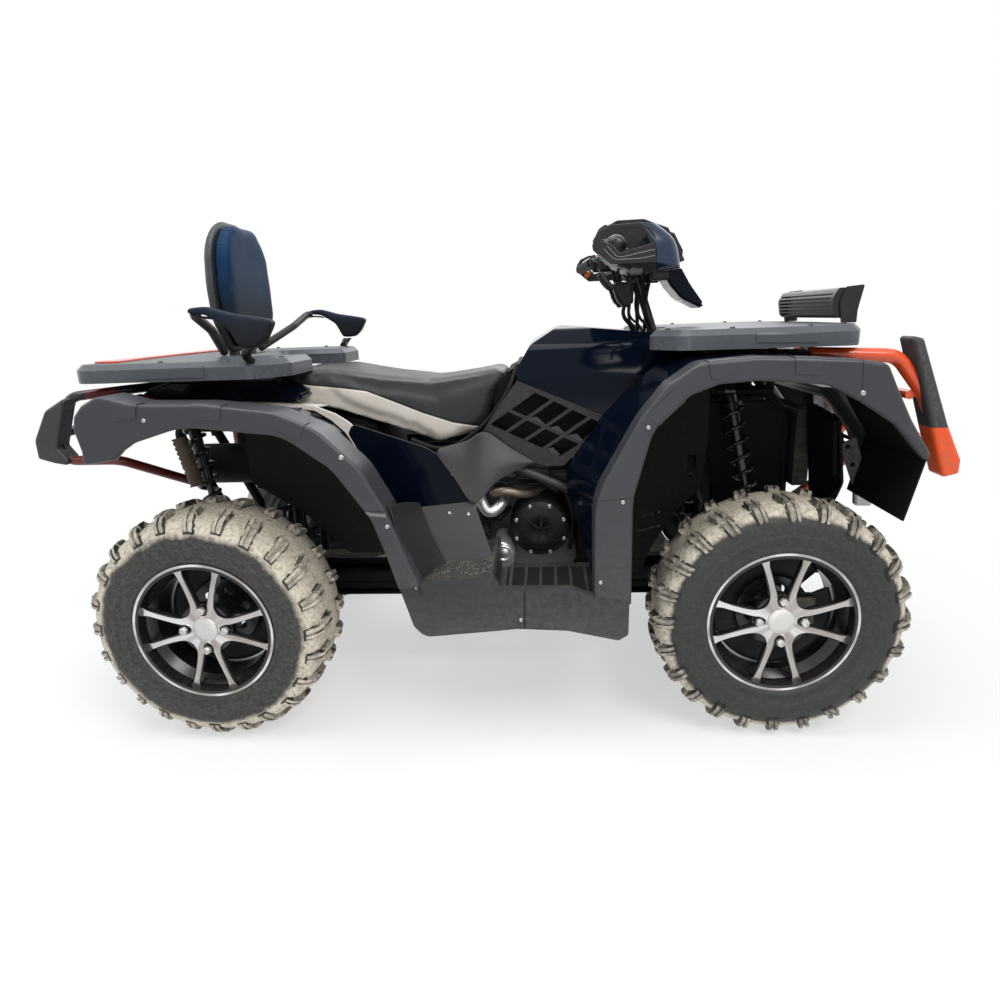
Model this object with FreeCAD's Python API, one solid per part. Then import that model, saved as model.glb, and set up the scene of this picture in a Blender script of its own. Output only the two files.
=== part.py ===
# Quad bike with a long two-up seat, racks front and rear, a passenger backrest and a light bar.
# Millimetres. +X is forward, +Y is to the rider's left, +Z is up.
# The origin is on the ground under the middle of the overall length.

import FreeCAD, Part
import math
import os

V = FreeCAD.Vector
X_AXIS, Y_AXIS, Z_AXIS = V(1, 0, 0), V(0, 1, 0), V(0, 0, 1)

# Overall sizes
front_overhang = 442.5
wheelbase = 1455.0
rear_overhang = 482.5
overall_length = front_overhang + wheelbase + rear_overhang
front_axle_x = overall_length / 2 - front_overhang
rear_axle_x = front_axle_x - wheelbase
run_gap = 0.3

# Tyres and rims
tyre_radius = 317.0
lug_height = 20.0
lug_count = 20
lug_share = 0.42
front_tyre_width = 210.0
rear_tyre_width = 250.0
front_wheel_y = 430.0
rear_wheel_y = 449.0
rim_lip_radius = 184.0
rim_bead_radius = 175.0
rim_wall = 5.0
rim_lip_inset = 6.0
spoke_thickness = 16.0
spoke_face_inset = 22.0
spoke_spread = 17.0
spoke_width = 15.0
hub_disc_radius = 40.0
hub_cap_radius = 27.0
wheel_bolt_circle = 55.0
wheel_bolt_radius = 7.0
hub_radius = 26.0
brake_disc_radius = 92.0
brake_disc_thickness = 4.0

# Steering
kingpin_y = 385.0
steering_tilt = 18.5
column_x = 470.0
column_z = 1080.0
column_radius = 13.0
column_low = -700.0
column_high = 112.0
pitman_length = 81.0
steer_arm_length = 95.0
steer_arm_z = 336.0
steer_arm_radius = 9.0
tie_rod_radius = 7.0
rod_pin = 5.0
cup_height = 16.0
eye_radius = 16.0
eye_bore = 10.0
eye_height = 10.0
eye_gap = 10.0
pitman_plate = 8.0
pitman_pin = 5.0
pin_over_eye = 2.0
joint_ball_radius = 24.0
bearing_depth = 10.0
bearing_gap = 0.3
carrier_half = 12.0
knuckle_ring_radius = 50.0
run_clear = 6.0
ball_joint_radius = 16.0
ball_gap = 0.5
disc_inset = 22.0
bar_radius = 11.0
bar_end_x = 306.0
bar_end_y = 392.0
bar_end_z = 1217.0
grip_length = 125.0
grip_radius = 16.0

# Suspension
lower_pivot_z = 262.0
lower_ball_z = 232.0
upper_pivot_z = 430.0
upper_ball_z = 404.0
arm_tube_radius = 11.0
lower_pivot_y = 140.0
upper_pivot_y = 140.0
lower_spread = 95.0
upper_spread = 90.0
sleeve_length = 44.0
ear_thickness = 5.0
rear_ball_y = 390.0
shock_body_radius = 17.0
spring_radius = 25.0
spring_wire = 5.0
spring_turns = 8
shaft_radius = 12.0

# Frame
frame_tube = 15.0
rail_y = 105.0
rail_low_z = 255.0
seat_rail_z = 690.0
front_rail_z = 840.0
rear_rail_z = 775.0
rail_front_x = front_axle_x + 112.5
rail_rear_x = rear_axle_x - 107.5
front_post_x = front_axle_x - 187.5
rear_post_x = rear_axle_x - 192.5
front_shock_top = (front_axle_x - 69.5, 172.0, 850.0)
rear_shock_top = (rear_axle_x - 148.5, 196.0, 850.0)
foot_bar_front = 230.0
foot_bar_rear = -110.0
frame_front_joint = 430.0
frame_rear_joint = -430.0

# Engine and cooling
case_half_width = 88.0
case_low_z = 272.0
side_cover_radius = 84.0
side_cover_x, side_cover_z = 153.0, 478.0
diff_half_width = 70.0
skid_thickness = 4.0

# Bodywork
plastic = 4.0
flare_y = 547.0
rear_flare_y = 571.0
flare_inner_y = 470.0
flare_round = 8.5
flare_lip = 18.0
pad_height = 2.5
seam_width = 1.6
seam_depth = 1.5
shoulder_y = 250.0
rear_shoulder_y = 322.0
nose_x = front_axle_x + 180.5
cowl_half = 244.0
cowl_front_x = 561.0
side_panel_y = 248.0
louvre_depth = 14.0
louvre_web = 9.0
louvre_columns = 3
louvre_start = (122.0, 798.0)
louvre_along = (50.0, -24.5)
louvre_up = (74.0, 50.0)
louvre_down = (-60.0, -39.0)
guard_y = 256.0
footwell_y = 547.0
footwell_inner_y = 262.0
floor_z = 385.0
foot_rim = 25.0
floor_rib = 4.0

# Racks and fittings
rack_half_width = 420.0
rack_chamfer = 14.0
rack_wall = 5.0
front_rack_low, front_rack_high = 975.0, 1022.0
rear_rack_low, rear_rack_high = 938.0, 984.0
rack_hole_radius = 4.5
rack_holes_x = rear_post_x + 50.0
rack_holes_length, rack_holes_width = 150.0, 500.0
light_x = front_axle_x + 177.5
light_half_width = 209.0
light_base = 12.0
backrest_x = -700.0
backrest_half_width = 160.0
backrest_pad = 44.0
backrest_shell = 26.0
bumper_tube = 17.0
bumper_front_x = overall_length / 2
bumper_rear_x = -overall_length / 2
hitch_bore = 9.5
hitch_plate = 12.0
hitch_x, hitch_z = -1035.0, 346.0


# Shape helpers

def corner_wire(points, to_space, closed=True):
    """Wire through flat points (a, b, corner radius), each corner a tangent arc."""
    flat = [V(p[0], p[1], 0) for p in points]
    radii = [p[2] if len(p) > 2 else 0 for p in points]
    count = len(flat)
    starts, ends, arcs = [None] * count, [None] * count, [None] * count
    for i in range(count):
        here = flat[i]
        inner = closed or 0 < i < count - 1
        if not inner or radii[i] <= 0:
            starts[i] = ends[i] = here
            continue
        back = flat[i - 1] - here
        ahead = flat[(i + 1) % count] - here
        back_unit, ahead_unit = V(back).normalize(), V(ahead).normalize()
        half = math.acos(max(-1.0, min(1.0, back_unit.dot(ahead_unit)))) / 2
        if half > 1.569:
            starts[i] = ends[i] = here
            continue
        reach = min(radii[i] / math.tan(half), 0.49 * back.Length, 0.49 * ahead.Length)
        radius = reach * math.tan(half)
        starts[i] = here + back_unit * reach
        ends[i] = here + ahead_unit * reach
        middle = V(back_unit + ahead_unit).normalize()
        arcs[i] = here + middle * (radius / math.sin(half) - radius)
    edges = []
    for i in range(count):
        if arcs[i] is not None:
            edges.append(Part.Arc(to_space(starts[i]), to_space(arcs[i]), to_space(ends[i])).toShape())
        if i < count - 1 or closed:
            a, b = ends[i], starts[(i + 1) % count]
            if (b - a).Length > 1e-4:
                edges.append(Part.makeLine(to_space(a), to_space(b)))
    return Part.Wire(edges)


def side_plate(points, y0, y1):
    """Outline in X and Z, from y0 to y1."""
    wire = corner_wire(points, lambda p: V(p.x, y0, p.y))
    return Part.Face(wire).extrude(V(0, y1 - y0, 0))


def top_plate(points, z0, z1):
    """Outline in X and Y, from z0 to z1."""
    wire = corner_wire(points, lambda p: V(p.x, p.y, z0))
    return Part.Face(wire).extrude(V(0, 0, z1 - z0))


def front_plate(points, x0, x1):
    """Outline in Y and Z, from x0 to x1."""
    wire = corner_wire(points, lambda p: V(x0, p.x, p.y))
    return Part.Face(wire).extrude(V(x1 - x0, 0, 0))


def block(x0, x1, y0, y1, z0, z1):
    return Part.makeBox(x1 - x0, y1 - y0, z1 - z0, V(x0, y0, z0))


def rod(a, b, radius):
    a, b = V(*a), V(*b)
    return Part.makeCylinder(radius, (b - a).Length, a, b - a)


def ball(centre, radius):
    return Part.makeSphere(radius, V(*centre))


def bent_tube(points, radius, bend):
    """Round tube along straight runs joined by tangent arcs."""
    pts = [V(*p) for p in points]
    edges = []
    last = pts[0]
    for i in range(1, len(pts) - 1):
        back, ahead = pts[i - 1] - pts[i], pts[i + 1] - pts[i]
        back_unit, ahead_unit = V(back).normalize(), V(ahead).normalize()
        half = math.acos(max(-1.0, min(1.0, back_unit.dot(ahead_unit)))) / 2
        reach = min(bend / math.tan(half), 0.45 * back.Length, 0.45 * ahead.Length)
        arc_radius = reach * math.tan(half)
        start, end = pts[i] + back_unit * reach, pts[i] + ahead_unit * reach
        middle = V(back_unit + ahead_unit).normalize()
        top = pts[i] + middle * (arc_radius / math.sin(half) - arc_radius)
        edges.append(Part.makeLine(last, start))
        edges.append(Part.Arc(start, top, end).toShape())
        last = end
    edges.append(Part.makeLine(last, pts[-1]))
    path = Part.Wire(edges)
    ring = Part.Wire([Part.makeCircle(radius, pts[0], pts[1] - pts[0])])
    return path.makePipeShell([ring], True, False)


def join(shapes):
    whole = shapes[0]
    for shape in shapes[1:]:
        whole = whole.fuse(shape)
    merged = whole.copy().removeSplitter()
    return merged if merged.isValid() else whole


def mirrored(shape):
    return shape.mirror(V(0, 0, 0), Y_AXIS)


def both(shape):
    """The shape and its mirror image, joined."""
    return join([shape, mirrored(shape)])


def turned(shape, centre, axis, angle):
    copy = shape.copy()
    copy.rotate(V(*centre), axis, angle)
    return copy


def largest(shape):
    return max(shape.Solids, key=lambda solid: solid.Volume)


def pair(shape):
    """The right-hand piece with its mirror image, as separate solids."""
    return Part.makeCompound([shape, mirrored(shape)])


def inset_outline(points, inset):
    """Closed outline drawn in by the inset, its corner arcs kept concentric."""
    count = len(points)
    area = sum(points[i - 1][0] * points[i][1] - points[i][0] * points[i - 1][1] for i in range(count))
    turn = 1 if area > 0 else -1
    moved = []
    for i in range(count):
        back, here, ahead = (V(points[k % count][0], points[k % count][1], 0) for k in (i - 1, i, i + 1))
        before, after = (here - back).normalize(), (ahead - here).normalize()
        first, second = V(-before.y, before.x, 0) * turn, V(-after.y, after.x, 0) * turn
        bend = turn * (before.x * after.y - before.y * after.x)
        shift = (first + second) * (inset / (1 + first.dot(second)))
        radius = points[i][2] - inset if bend > 0 else points[i][2] + inset
        moved.append((here.x + shift.x, here.y + shift.y, max(radius, 1.0) if points[i][2] > 0 else 0))
    return moved


def loft(outline_a, y_a, outline_b, y_b):
    """Solid between two outlines in X and Z, each at its own Y, matched corner for corner."""
    wires = [corner_wire(outline, lambda p, y=y: V(p.x, y, p.y)) for outline, y in ((outline_a, y_a), (outline_b, y_b))]
    return Part.makeLoft(wires, True, True)


def smooth_line(points, y):
    """Smooth line through points in X and Z."""
    line = Part.BSplineCurve()
    line.interpolate([V(a, y, b) for a, b in points])
    return line.toShape()


def sheet(line_a, line_b, thickness):
    """Ruled surface between two lines, thickened along a vector."""
    return Part.makeRuledSurface(line_a, line_b).extrude(thickness)


def edges_at(shape, axis, value):
    """Edges that lie whole in the plane at this value of the axis."""
    low, high = axis + "Min", axis + "Max"
    return [edge for edge in shape.Edges
            if abs(getattr(edge.BoundBox, low) - value) < 0.05 and abs(getattr(edge.BoundBox, high) - value) < 0.05]


parts = {}


def save(name, shape):
    parts[name] = shape


# Wheels

def tyre(width):
    """Tyre about the Y axis at the origin: carcass and two rings of staggered lugs."""
    half = width / 2
    crown = tyre_radius - lug_height
    wall = [
        (rim_bead_radius, half - 34), (rim_lip_radius + 6, half - 14), (rim_lip_radius + 45, half - 1),
        (crown - 40, half - 3), (crown - 6, half - 22),
        (crown - 6, -half + 22), (crown - 40, -half + 3), (rim_lip_radius + 45, -half + 1),
        (rim_lip_radius + 6, -half + 14), (rim_bead_radius, -half + 34),
    ]
    wire = Part.makePolygon([V(r, y, 0) for r, y in wall + wall[:1]])
    carcass = Part.Face(wire).revolve(V(0, 0, 0), Y_AXIS, 360)
    pitch = 2 * math.pi / lug_count
    low = crown - 24
    solids = [carcass]
    for side in (-1, 1):
        ring = []
        for i in range(lug_count):
            start = (i + 0.5 * (side > 0)) * pitch
            stop = start + pitch * lug_share
            ring += [(tyre_radius, start), (tyre_radius, stop), (crown, stop), (crown, start + pitch)]
        outer = [V(r * math.cos(a), 0, r * math.sin(a)) for r, a in ring]
        face = Part.Face(Part.makePolygon(outer + outer[:1]))
        lugs = face.extrude(V(0, side * (half - 10), 0))
        lugs = lugs.cut(Part.makeCylinder(low, 2 * width, V(0, -width, 0), Y_AXIS))
        solids.append(lugs)
    return join(solids)


def spoke_pair(width_y):
    """Two spokes that leave the hub as a narrow V, in the plane of the wheel."""
    spokes = []
    reach = rim_bead_radius - 2
    for side in (-1, 1):
        angle = math.radians(90 + side * spoke_spread)
        out = V(math.cos(angle), 0, math.sin(angle))
        across = V(-math.sin(angle), 0, math.cos(angle))
        root = V(side * -8, 0, 20)
        tip = out * reach
        wide, narrow = spoke_width * 0.75, spoke_width * 0.5
        corners = [root - across * wide, tip - across * narrow, tip + across * narrow, root + across * wide]
        face = Part.Face(Part.makePolygon(corners + corners[:1]))
        spokes.append(face.extrude(V(0, width_y, 0)))
    return spokes


def rim(width):
    """Alloy rim about the Y axis, its outer face towards -Y."""
    half = width / 2
    bead, lip = rim_bead_radius, rim_lip_radius
    outer = [
        (lip, -half + rim_lip_inset), (lip, -half + rim_lip_inset + 4), (bead, -half + 15),
        (bead, -half + 38), (bead - 18, -half + 60), (bead - 18, half - 45),
        (bead, half - 36), (bead, half - 15), (lip, half - rim_lip_inset - 4), (lip, half - rim_lip_inset),
    ]
    inner = [
        (bead - rim_wall, half - rim_lip_inset), (bead - rim_wall, half - 36), (bead - 18 - rim_wall, half - 47),
        (bead - 18 - rim_wall, -half + 62), (bead - rim_wall, -half + 42), (bead - rim_wall, -half + rim_lip_inset),
    ]
    profile = [V(r, y, 0) for r, y in outer + inner + outer[:1]]
    barrel = Part.Face(Part.makePolygon(profile)).revolve(V(0, 0, 0), Y_AXIS, 360)
    face_y = -half + spoke_face_inset
    pieces = [barrel]
    for quarter in range(4):
        for spoke in spoke_pair(spoke_thickness):
            spoke.translate(V(0, face_y, 0))
            pieces.append(turned(spoke, (0, 0, 0), Y_AXIS, 90 * quarter))
    disc = Part.makeCylinder(hub_disc_radius, spoke_thickness, V(0, face_y, 0), Y_AXIS)
    bolts = Part.makeCylinder(wheel_bolt_circle + 14, spoke_thickness - 4, V(0, face_y + 4, 0), Y_AXIS)
    cap = Part.makeCylinder(hub_cap_radius, 7, V(0, face_y - 7, 0), Y_AXIS)
    pieces += [disc, bolts, cap]
    wheel = join(pieces)
    for quarter in range(4):
        angle = math.radians(90 * quarter + 90)
        spot = V(wheel_bolt_circle * math.cos(angle), face_y - 1, wheel_bolt_circle * math.sin(angle))
        wheel = wheel.cut(Part.makeCylinder(wheel_bolt_radius + 3, 9, spot, Y_AXIS))
        nut = Part.makeCylinder(wheel_bolt_radius, 12, spot + V(0, -2, 0), Y_AXIS)
        wheel = wheel.fuse(nut)
    return wheel.removeSplitter()


def wheel_hub(width, stub_y):
    """Hub flange, stub axle and brake disc behind the rim; the stub ends at stub_y inboard."""
    face_y = -width / 2 + spoke_face_inset + spoke_thickness
    flange = Part.makeCylinder(wheel_bolt_circle + 14, 10, V(0, face_y, 0), Y_AXIS)
    barrel = Part.makeCylinder(hub_radius, stub_y - face_y, V(0, face_y, 0), Y_AXIS)
    disc_y = stub_y - disc_inset
    disc = Part.makeCylinder(brake_disc_radius, brake_disc_thickness, V(0, disc_y, 0), Y_AXIS)
    windows = []
    for i in range(6):
        angle = math.radians(60 * i + 15)
        spot = V(58 * math.cos(angle), disc_y - 1, 58 * math.sin(angle))
        windows.append(Part.makeCylinder(13, brake_disc_thickness + 2, spot, Y_AXIS))
    return join([flange, barrel, disc.cut(join(windows))])


def place(shape, x, y):
    copy = shape.copy()
    copy.translate(V(x, y, tyre_radius))
    return copy


def make_wheels():
    for end, axle_x, wheel_y, width in (
        ("front", front_axle_x, front_wheel_y, front_tyre_width),
        ("rear", rear_axle_x, rear_wheel_y, rear_tyre_width),
    ):
        rubber = tyre(width)
        alloy = rim(width - 16)
        stub = front_stub() if end == "front" else wheel_y - rear_ball_y - carrier_half - run_clear
        hub = wheel_hub(width - 16, stub)
        for side, name in ((-1, "right"), (1, "left")):
            for piece, kind in ((rubber, "tyre"), (join([alloy, hub]), "rim")):
                shape = place(piece, axle_x, -wheel_y)
                save(f"{kind}_{end}_{name}", shape if side < 0 else mirrored(shape))


# Suspension and drive

def wishbone(axle_x, spread, pivot_y, pivot_z, ball_y, ball_z):
    """A-arm on the right side: two tubes from the frame pivots to the ball joint, with a cross brace."""
    tip = (axle_x, -ball_y, ball_z)
    pieces = [ball(tip, ball_joint_radius)]
    for way in (-1, 1):
        pivot = (axle_x + way * spread, -pivot_y, pivot_z)
        pieces.append(rod(pivot, tip, arm_tube_radius))
        sleeve = V(*pivot) - V(sleeve_length / 2, 0, 0)
        pieces.append(Part.makeCylinder(arm_tube_radius + 4, sleeve_length, sleeve, X_AXIS))
    share = 0.55
    brace_y = pivot_y + share * (ball_y - pivot_y)
    brace_z = pivot_z + share * (ball_z - pivot_z)
    reach = spread * (1 - share)
    pieces.append(rod((axle_x - reach, -brace_y, brace_z), (axle_x + reach, -brace_y, brace_z), arm_tube_radius - 2))
    return join(pieces)


def shock(low, high):
    """Coil-over damper from the arm to the frame: body, rod, collars and eyes."""
    a, b = V(*low), V(*high)
    along = V(b - a).normalize()
    length = (b - a).Length
    body = Part.makeCylinder(shock_body_radius, length * 0.5, b - along * (length * 0.5 + 14), along)
    stem = Part.makeCylinder(9, length - 20, a + along * 10, along)
    lower_cup = Part.makeCylinder(spring_radius + spring_wire, 8, a + along * 34, along)
    upper_cup = Part.makeCylinder(spring_radius + spring_wire, 10, b - along * 46, along)
    eyes = [Part.makeCylinder(14, 28, p - V(14, 0, 0), X_AXIS) for p in (a, b)]
    return join([body, stem, lower_cup, upper_cup] + eyes)


def spring(low, high):
    """Coil spring between the shock's two cups."""
    a, b = V(*low), V(*high)
    along = V(b - a).normalize()
    start = a + along * (42 + spring_wire + 0.5)
    length = (b - along * (46 + spring_wire + 0.5) - start).Length
    helix = Part.makeHelix(length / spring_turns, length, spring_radius)
    ring = Part.Wire([Part.makeCircle(spring_wire, V(spring_radius, 0, 0), V(0, 1, 0))])
    coil = Part.Wire(helix).makePipeShell([ring], True, True)
    coil.Placement = FreeCAD.Placement(start, FreeCAD.Rotation(Z_AXIS, along))
    return coil


def half_shaft(axle_x, inner_y, outer_y):
    """Drive shaft with a rubber boot at each end."""
    z = tyre_radius
    bar = rod((axle_x, -inner_y, z), (axle_x, -outer_y - 40, z), shaft_radius)
    boots = []
    for y, way in ((inner_y, 1), (outer_y, -1)):
        wide = V(axle_x, -y, z)
        for i in range(3):
            step = V(0, -way * i * 14, 0)
            boots.append(Part.makeCone(34 - 6 * i, 28 - 6 * i, 14, wide + step, V(0, -way, 0)))
    return join([bar] + boots)


def rear_carrier():
    """Right rear hub carrier between the two arms."""
    x, y, z = rear_axle_x, -rear_ball_y, tyre_radius
    stub_out = carrier_half + run_clear
    ring = Part.makeCylinder(
        knuckle_ring_radius, carrier_half + stub_out + bearing_depth, V(x, y - stub_out - bearing_depth, z), Y_AXIS)
    top = rod((x, y, z + 40), (x, y, upper_ball_z - ball_joint_radius - run_gap), 11)
    low = rod((x, y, lower_ball_z + ball_joint_radius + run_gap), (x, y, z - 40), 11)
    return bored(join([ring, top, low]), x, y, stub_out)


def make_suspension():
    for end, axle_x, ball_y in (("front", front_axle_x, kingpin_y), ("rear", rear_axle_x, rear_ball_y)):
        lower = wishbone(axle_x, lower_spread, lower_pivot_y, lower_pivot_z, ball_y, lower_ball_z)
        upper = wishbone(axle_x, upper_spread, upper_pivot_y, upper_pivot_z, ball_y, upper_ball_z)
        top = front_shock_top if end == "front" else rear_shock_top
        low, high = (axle_x - (2 if end == "front" else 50), -278, 440), (top[0], -top[1], top[2])
        damper, coil = shock(low, high), spring(low, high)
        upper = upper.cut(damper)
        save(f"{end}_arms", Part.makeCompound([lower, mirrored(lower), upper, mirrored(upper)]))
        save(f"{end}_shocks", Part.makeCompound([damper, mirrored(damper), coil, mirrored(coil)]))
    shafts = [half_shaft(front_axle_x, diff_half_width, kingpin_y - 50),
              half_shaft(rear_axle_x, diff_half_width, rear_ball_y - 50)]
    shafts[0] = join([shafts[0], ball((front_axle_x, -kingpin_y, tyre_radius), joint_ball_radius)])
    save("half_shafts", Part.makeCompound(shafts + [mirrored(shaft) for shaft in shafts]))
    carrier = rear_carrier()
    save("rear_hub_carriers", Part.makeCompound([carrier, mirrored(carrier)]))


def along_column(distance, side=0.0, out=0.0):
    """Point on the steering column: distance up its axis, side towards +Y, out towards the rider."""
    tilt = math.radians(steering_tilt)
    up, back = (-math.sin(tilt), math.cos(tilt)), (-math.cos(tilt), -math.sin(tilt))
    return V(column_x + up[0] * distance + back[0] * out, side, column_z + up[1] * distance + back[1] * out)


def column_axis():
    return (along_column(1) - along_column(0)).normalize()


def front_stub():
    """Y distance from the middle of the front wheel to the inboard end of its stub."""
    return front_wheel_y - kingpin_y - joint_ball_radius - run_clear


def knuckle():
    """Right front knuckle: bearing ring, ball-joint ears, steering arm and brake caliper."""
    x, y, z = front_axle_x, -kingpin_y, tyre_radius
    stub_out = joint_ball_radius + run_clear
    ring = Part.makeCylinder(knuckle_ring_radius, stub_out + bearing_depth + 12, V(x, y - stub_out - bearing_depth, z), Y_AXIS)
    top = rod((x, y, z + 40), (x, y, upper_ball_z - ball_joint_radius - ball_gap), 11)
    low = rod((x, y, lower_ball_z + ball_joint_radius + ball_gap), (x, y, z - 40), 11)
    tip = steer_arm_tip()
    arm = join([rod((x - 34, y, steer_arm_z), tip, steer_arm_radius),
                Part.makeCylinder(12, 2 * steer_arm_radius, tip - V(0, 0, steer_arm_radius), Z_AXIS),
                Part.makeCylinder(rod_pin, steer_arm_radius + cup_height + 3, tip, Z_AXIS)])
    disc_y = -front_wheel_y + front_stub() - disc_inset
    far = brake_disc_radius + 8
    body = block(x + knuckle_ring_radius - 7, x + far, disc_y - 14, disc_y + 24, z - 34, z + 38)
    slot = block(x, x + brake_disc_radius + 2, disc_y - 5, disc_y + brake_disc_thickness + 5, z - 60, z + 60)
    bracket = block(x + 36, x + 62, disc_y + brake_disc_thickness + 7, y + 10, z - 20, z + 20)
    return bored(join([ring, top, low, arm, body.cut(slot), bracket]), x, y, stub_out)


def bored(shape, x, y, stub_out):
    """The shape with room for the drive joint, stepped down to the bearing that carries the hub."""
    seat = Part.makeCylinder(
        hub_radius + bearing_gap, bearing_depth + 3, V(x, y - stub_out - bearing_depth - 1, tyre_radius), Y_AXIS)
    room = Part.makeCylinder(hub_radius + 12, stub_out + 60, V(x, y - stub_out, tyre_radius), Y_AXIS)
    return shape.cut(room).cut(seat)


def steer_arm_tip():
    return V(front_axle_x - steer_arm_length, -kingpin_y, steer_arm_z)


def tie_rod(eye_shift):
    """Right tie rod from the knuckle's steering arm to its eye at the column's arm."""
    outer = steer_arm_tip() + V(0, 0, steer_arm_radius + run_gap + cup_height / 2)
    socket = Part.makeCylinder(rod_pin + run_gap, 60, outer - V(0, 0, 30), Z_AXIS)
    inner = along_column(column_low + eye_shift, 0, pitman_length)
    axis = column_axis()
    eye = Part.makeCylinder(eye_radius, eye_height, inner - axis * (eye_height / 2), axis)
    hole = Part.makeCylinder(eye_bore, eye_height * 3, inner - axis * (1.5 * eye_height), axis)
    cup = Part.makeCylinder(11, cup_height, outer - V(0, 0, cup_height / 2), Z_AXIS)
    bar = rod(outer, inner, tie_rod_radius)
    return join([eye, cup, bar]).cut(hole).cut(socket)


def steering_column():
    """Column with the arm that pulls both tie rods, the bar clamp and the handlebar."""
    axis = column_axis()
    low, high = along_column(column_low), along_column(column_high)
    tube = Part.makeCylinder(column_radius, (high - low).Length, low, axis)
    pin_spot = along_column(column_low, 0, pitman_length)
    plate = Part.makeCylinder(13, pitman_plate, pin_spot - axis * (pitman_plate / 2), axis)
    root = Part.makeCylinder(20, pitman_plate, low - axis * (pitman_plate / 2), axis)
    web = block(-pitman_length, 0, -11, 11, -pitman_plate / 2, pitman_plate / 2)
    web.Placement = FreeCAD.Placement(low, FreeCAD.Rotation(Y_AXIS, -steering_tilt))
    pin_reach = pitman_plate / 2 + eye_gap + eye_height + pin_over_eye
    pin = Part.makeCylinder(pitman_pin, 2 * pin_reach, pin_spot - axis * pin_reach, axis)
    clamp = Part.makeCylinder(24, 34, along_column(column_high - 10), axis)
    top = along_column(column_high + 22)
    points = [
        (bar_end_x, -bar_end_y, bar_end_z), (bar_end_x + 40, -bar_end_y + 180, bar_end_z + 16),
        (top.x + 6, -110, top.z + 4), (top.x, -60, top.z), (top.x, 60, top.z), (top.x + 6, 110, top.z + 4),
        (bar_end_x + 40, bar_end_y - 180, bar_end_z + 16), (bar_end_x, bar_end_y, bar_end_z),
    ]
    bar = bent_tube(points, bar_radius, 60)
    return join([tube, plate, root, web, pin, clamp, bar]), points


def make_steering():
    right = knuckle()
    save("knuckle_right", right)
    save("knuckle_left", mirrored(right))
    shift = pitman_plate / 2 + eye_gap + eye_height / 2
    save("tie_rod_right", tie_rod(shift))
    save("tie_rod_left", mirrored(tie_rod(-shift)))
    column, points = steering_column()
    grips = []
    for side in (0, -1):
        end = V(*points[side])
        inner = V(*points[1 if side == 0 else -2])
        along = (inner - end).normalize()
        grip = Part.makeCylinder(grip_radius, grip_length, end - along * 4, along)
        grips.append(grip)
    whole = Part.makeCompound(grips)
    save("handlebar", column.cut(whole))
    save("grips", whole)
    cover = side_plate([
        (318, 1262, 14), (334, 1290, 20), (376, 1308, 24), (449, 1309, 30), (528, 1280, 20), (562, 1212, 14),
        (560, 1186, 8), (520, 1172, 20), (430, 1168, 20), (367, 1200, 16)], -112, 112)
    cover = cover.makeFillet(18, edges_at(cover, "Y", -112) + edges_at(cover, "Y", 112))
    visor = side_plate([
        (515, 1200, 0), (519, 1156, 10), (542, 1090, 8), (607, 1070, 6), (609, 1084, 6), (566, 1156, 14), (556, 1200, 0)],
        -70, 70)
    save("handlebar_cover", cover.fuse(visor).cut(join([column, whole])))
    shield = top_plate([
        (289, -414, 2), (440, -414, 60), (492, -330, 60), (474, -112, 2), (462, -112, 2), (480, -325, 50),
        (434, -408, 50), (289, -408, 2)], 1100, 1300)
    outline = side_plate([
        (287, 1222, 10), (301, 1246, 14), (336, 1262, 20), (397, 1265, 40), (458, 1242, 30), (489, 1200, 10),
        (500, 1172, 4), (342, 1174, 20), (309, 1208, 14)], -420, -100)
    guard = shield.common(outline).cut(whole)
    guards = [guard, mirrored(guard)]
    save("hand_guards", Part.makeCompound(guards))


# Frame, engine and drive line

def arm_bracket(x, y, z):
    """Channel on the frame tube that holds one arm pivot on the right side."""
    half = sleeve_length / 2 + run_gap
    web_y = rail_y + frame_tube - 3
    web = block(x - half - ear_thickness, x + half + ear_thickness, -web_y - 5, -web_y, z - 17, z + 17)
    ears = [block(x + way * half - (ear_thickness if way < 0 else 0), x + way * half + (ear_thickness if way > 0 else 0),
                  -y - 14, -web_y, z - 17, z + 17) for way in (-1, 1)]
    return join([web] + ears)


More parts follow.
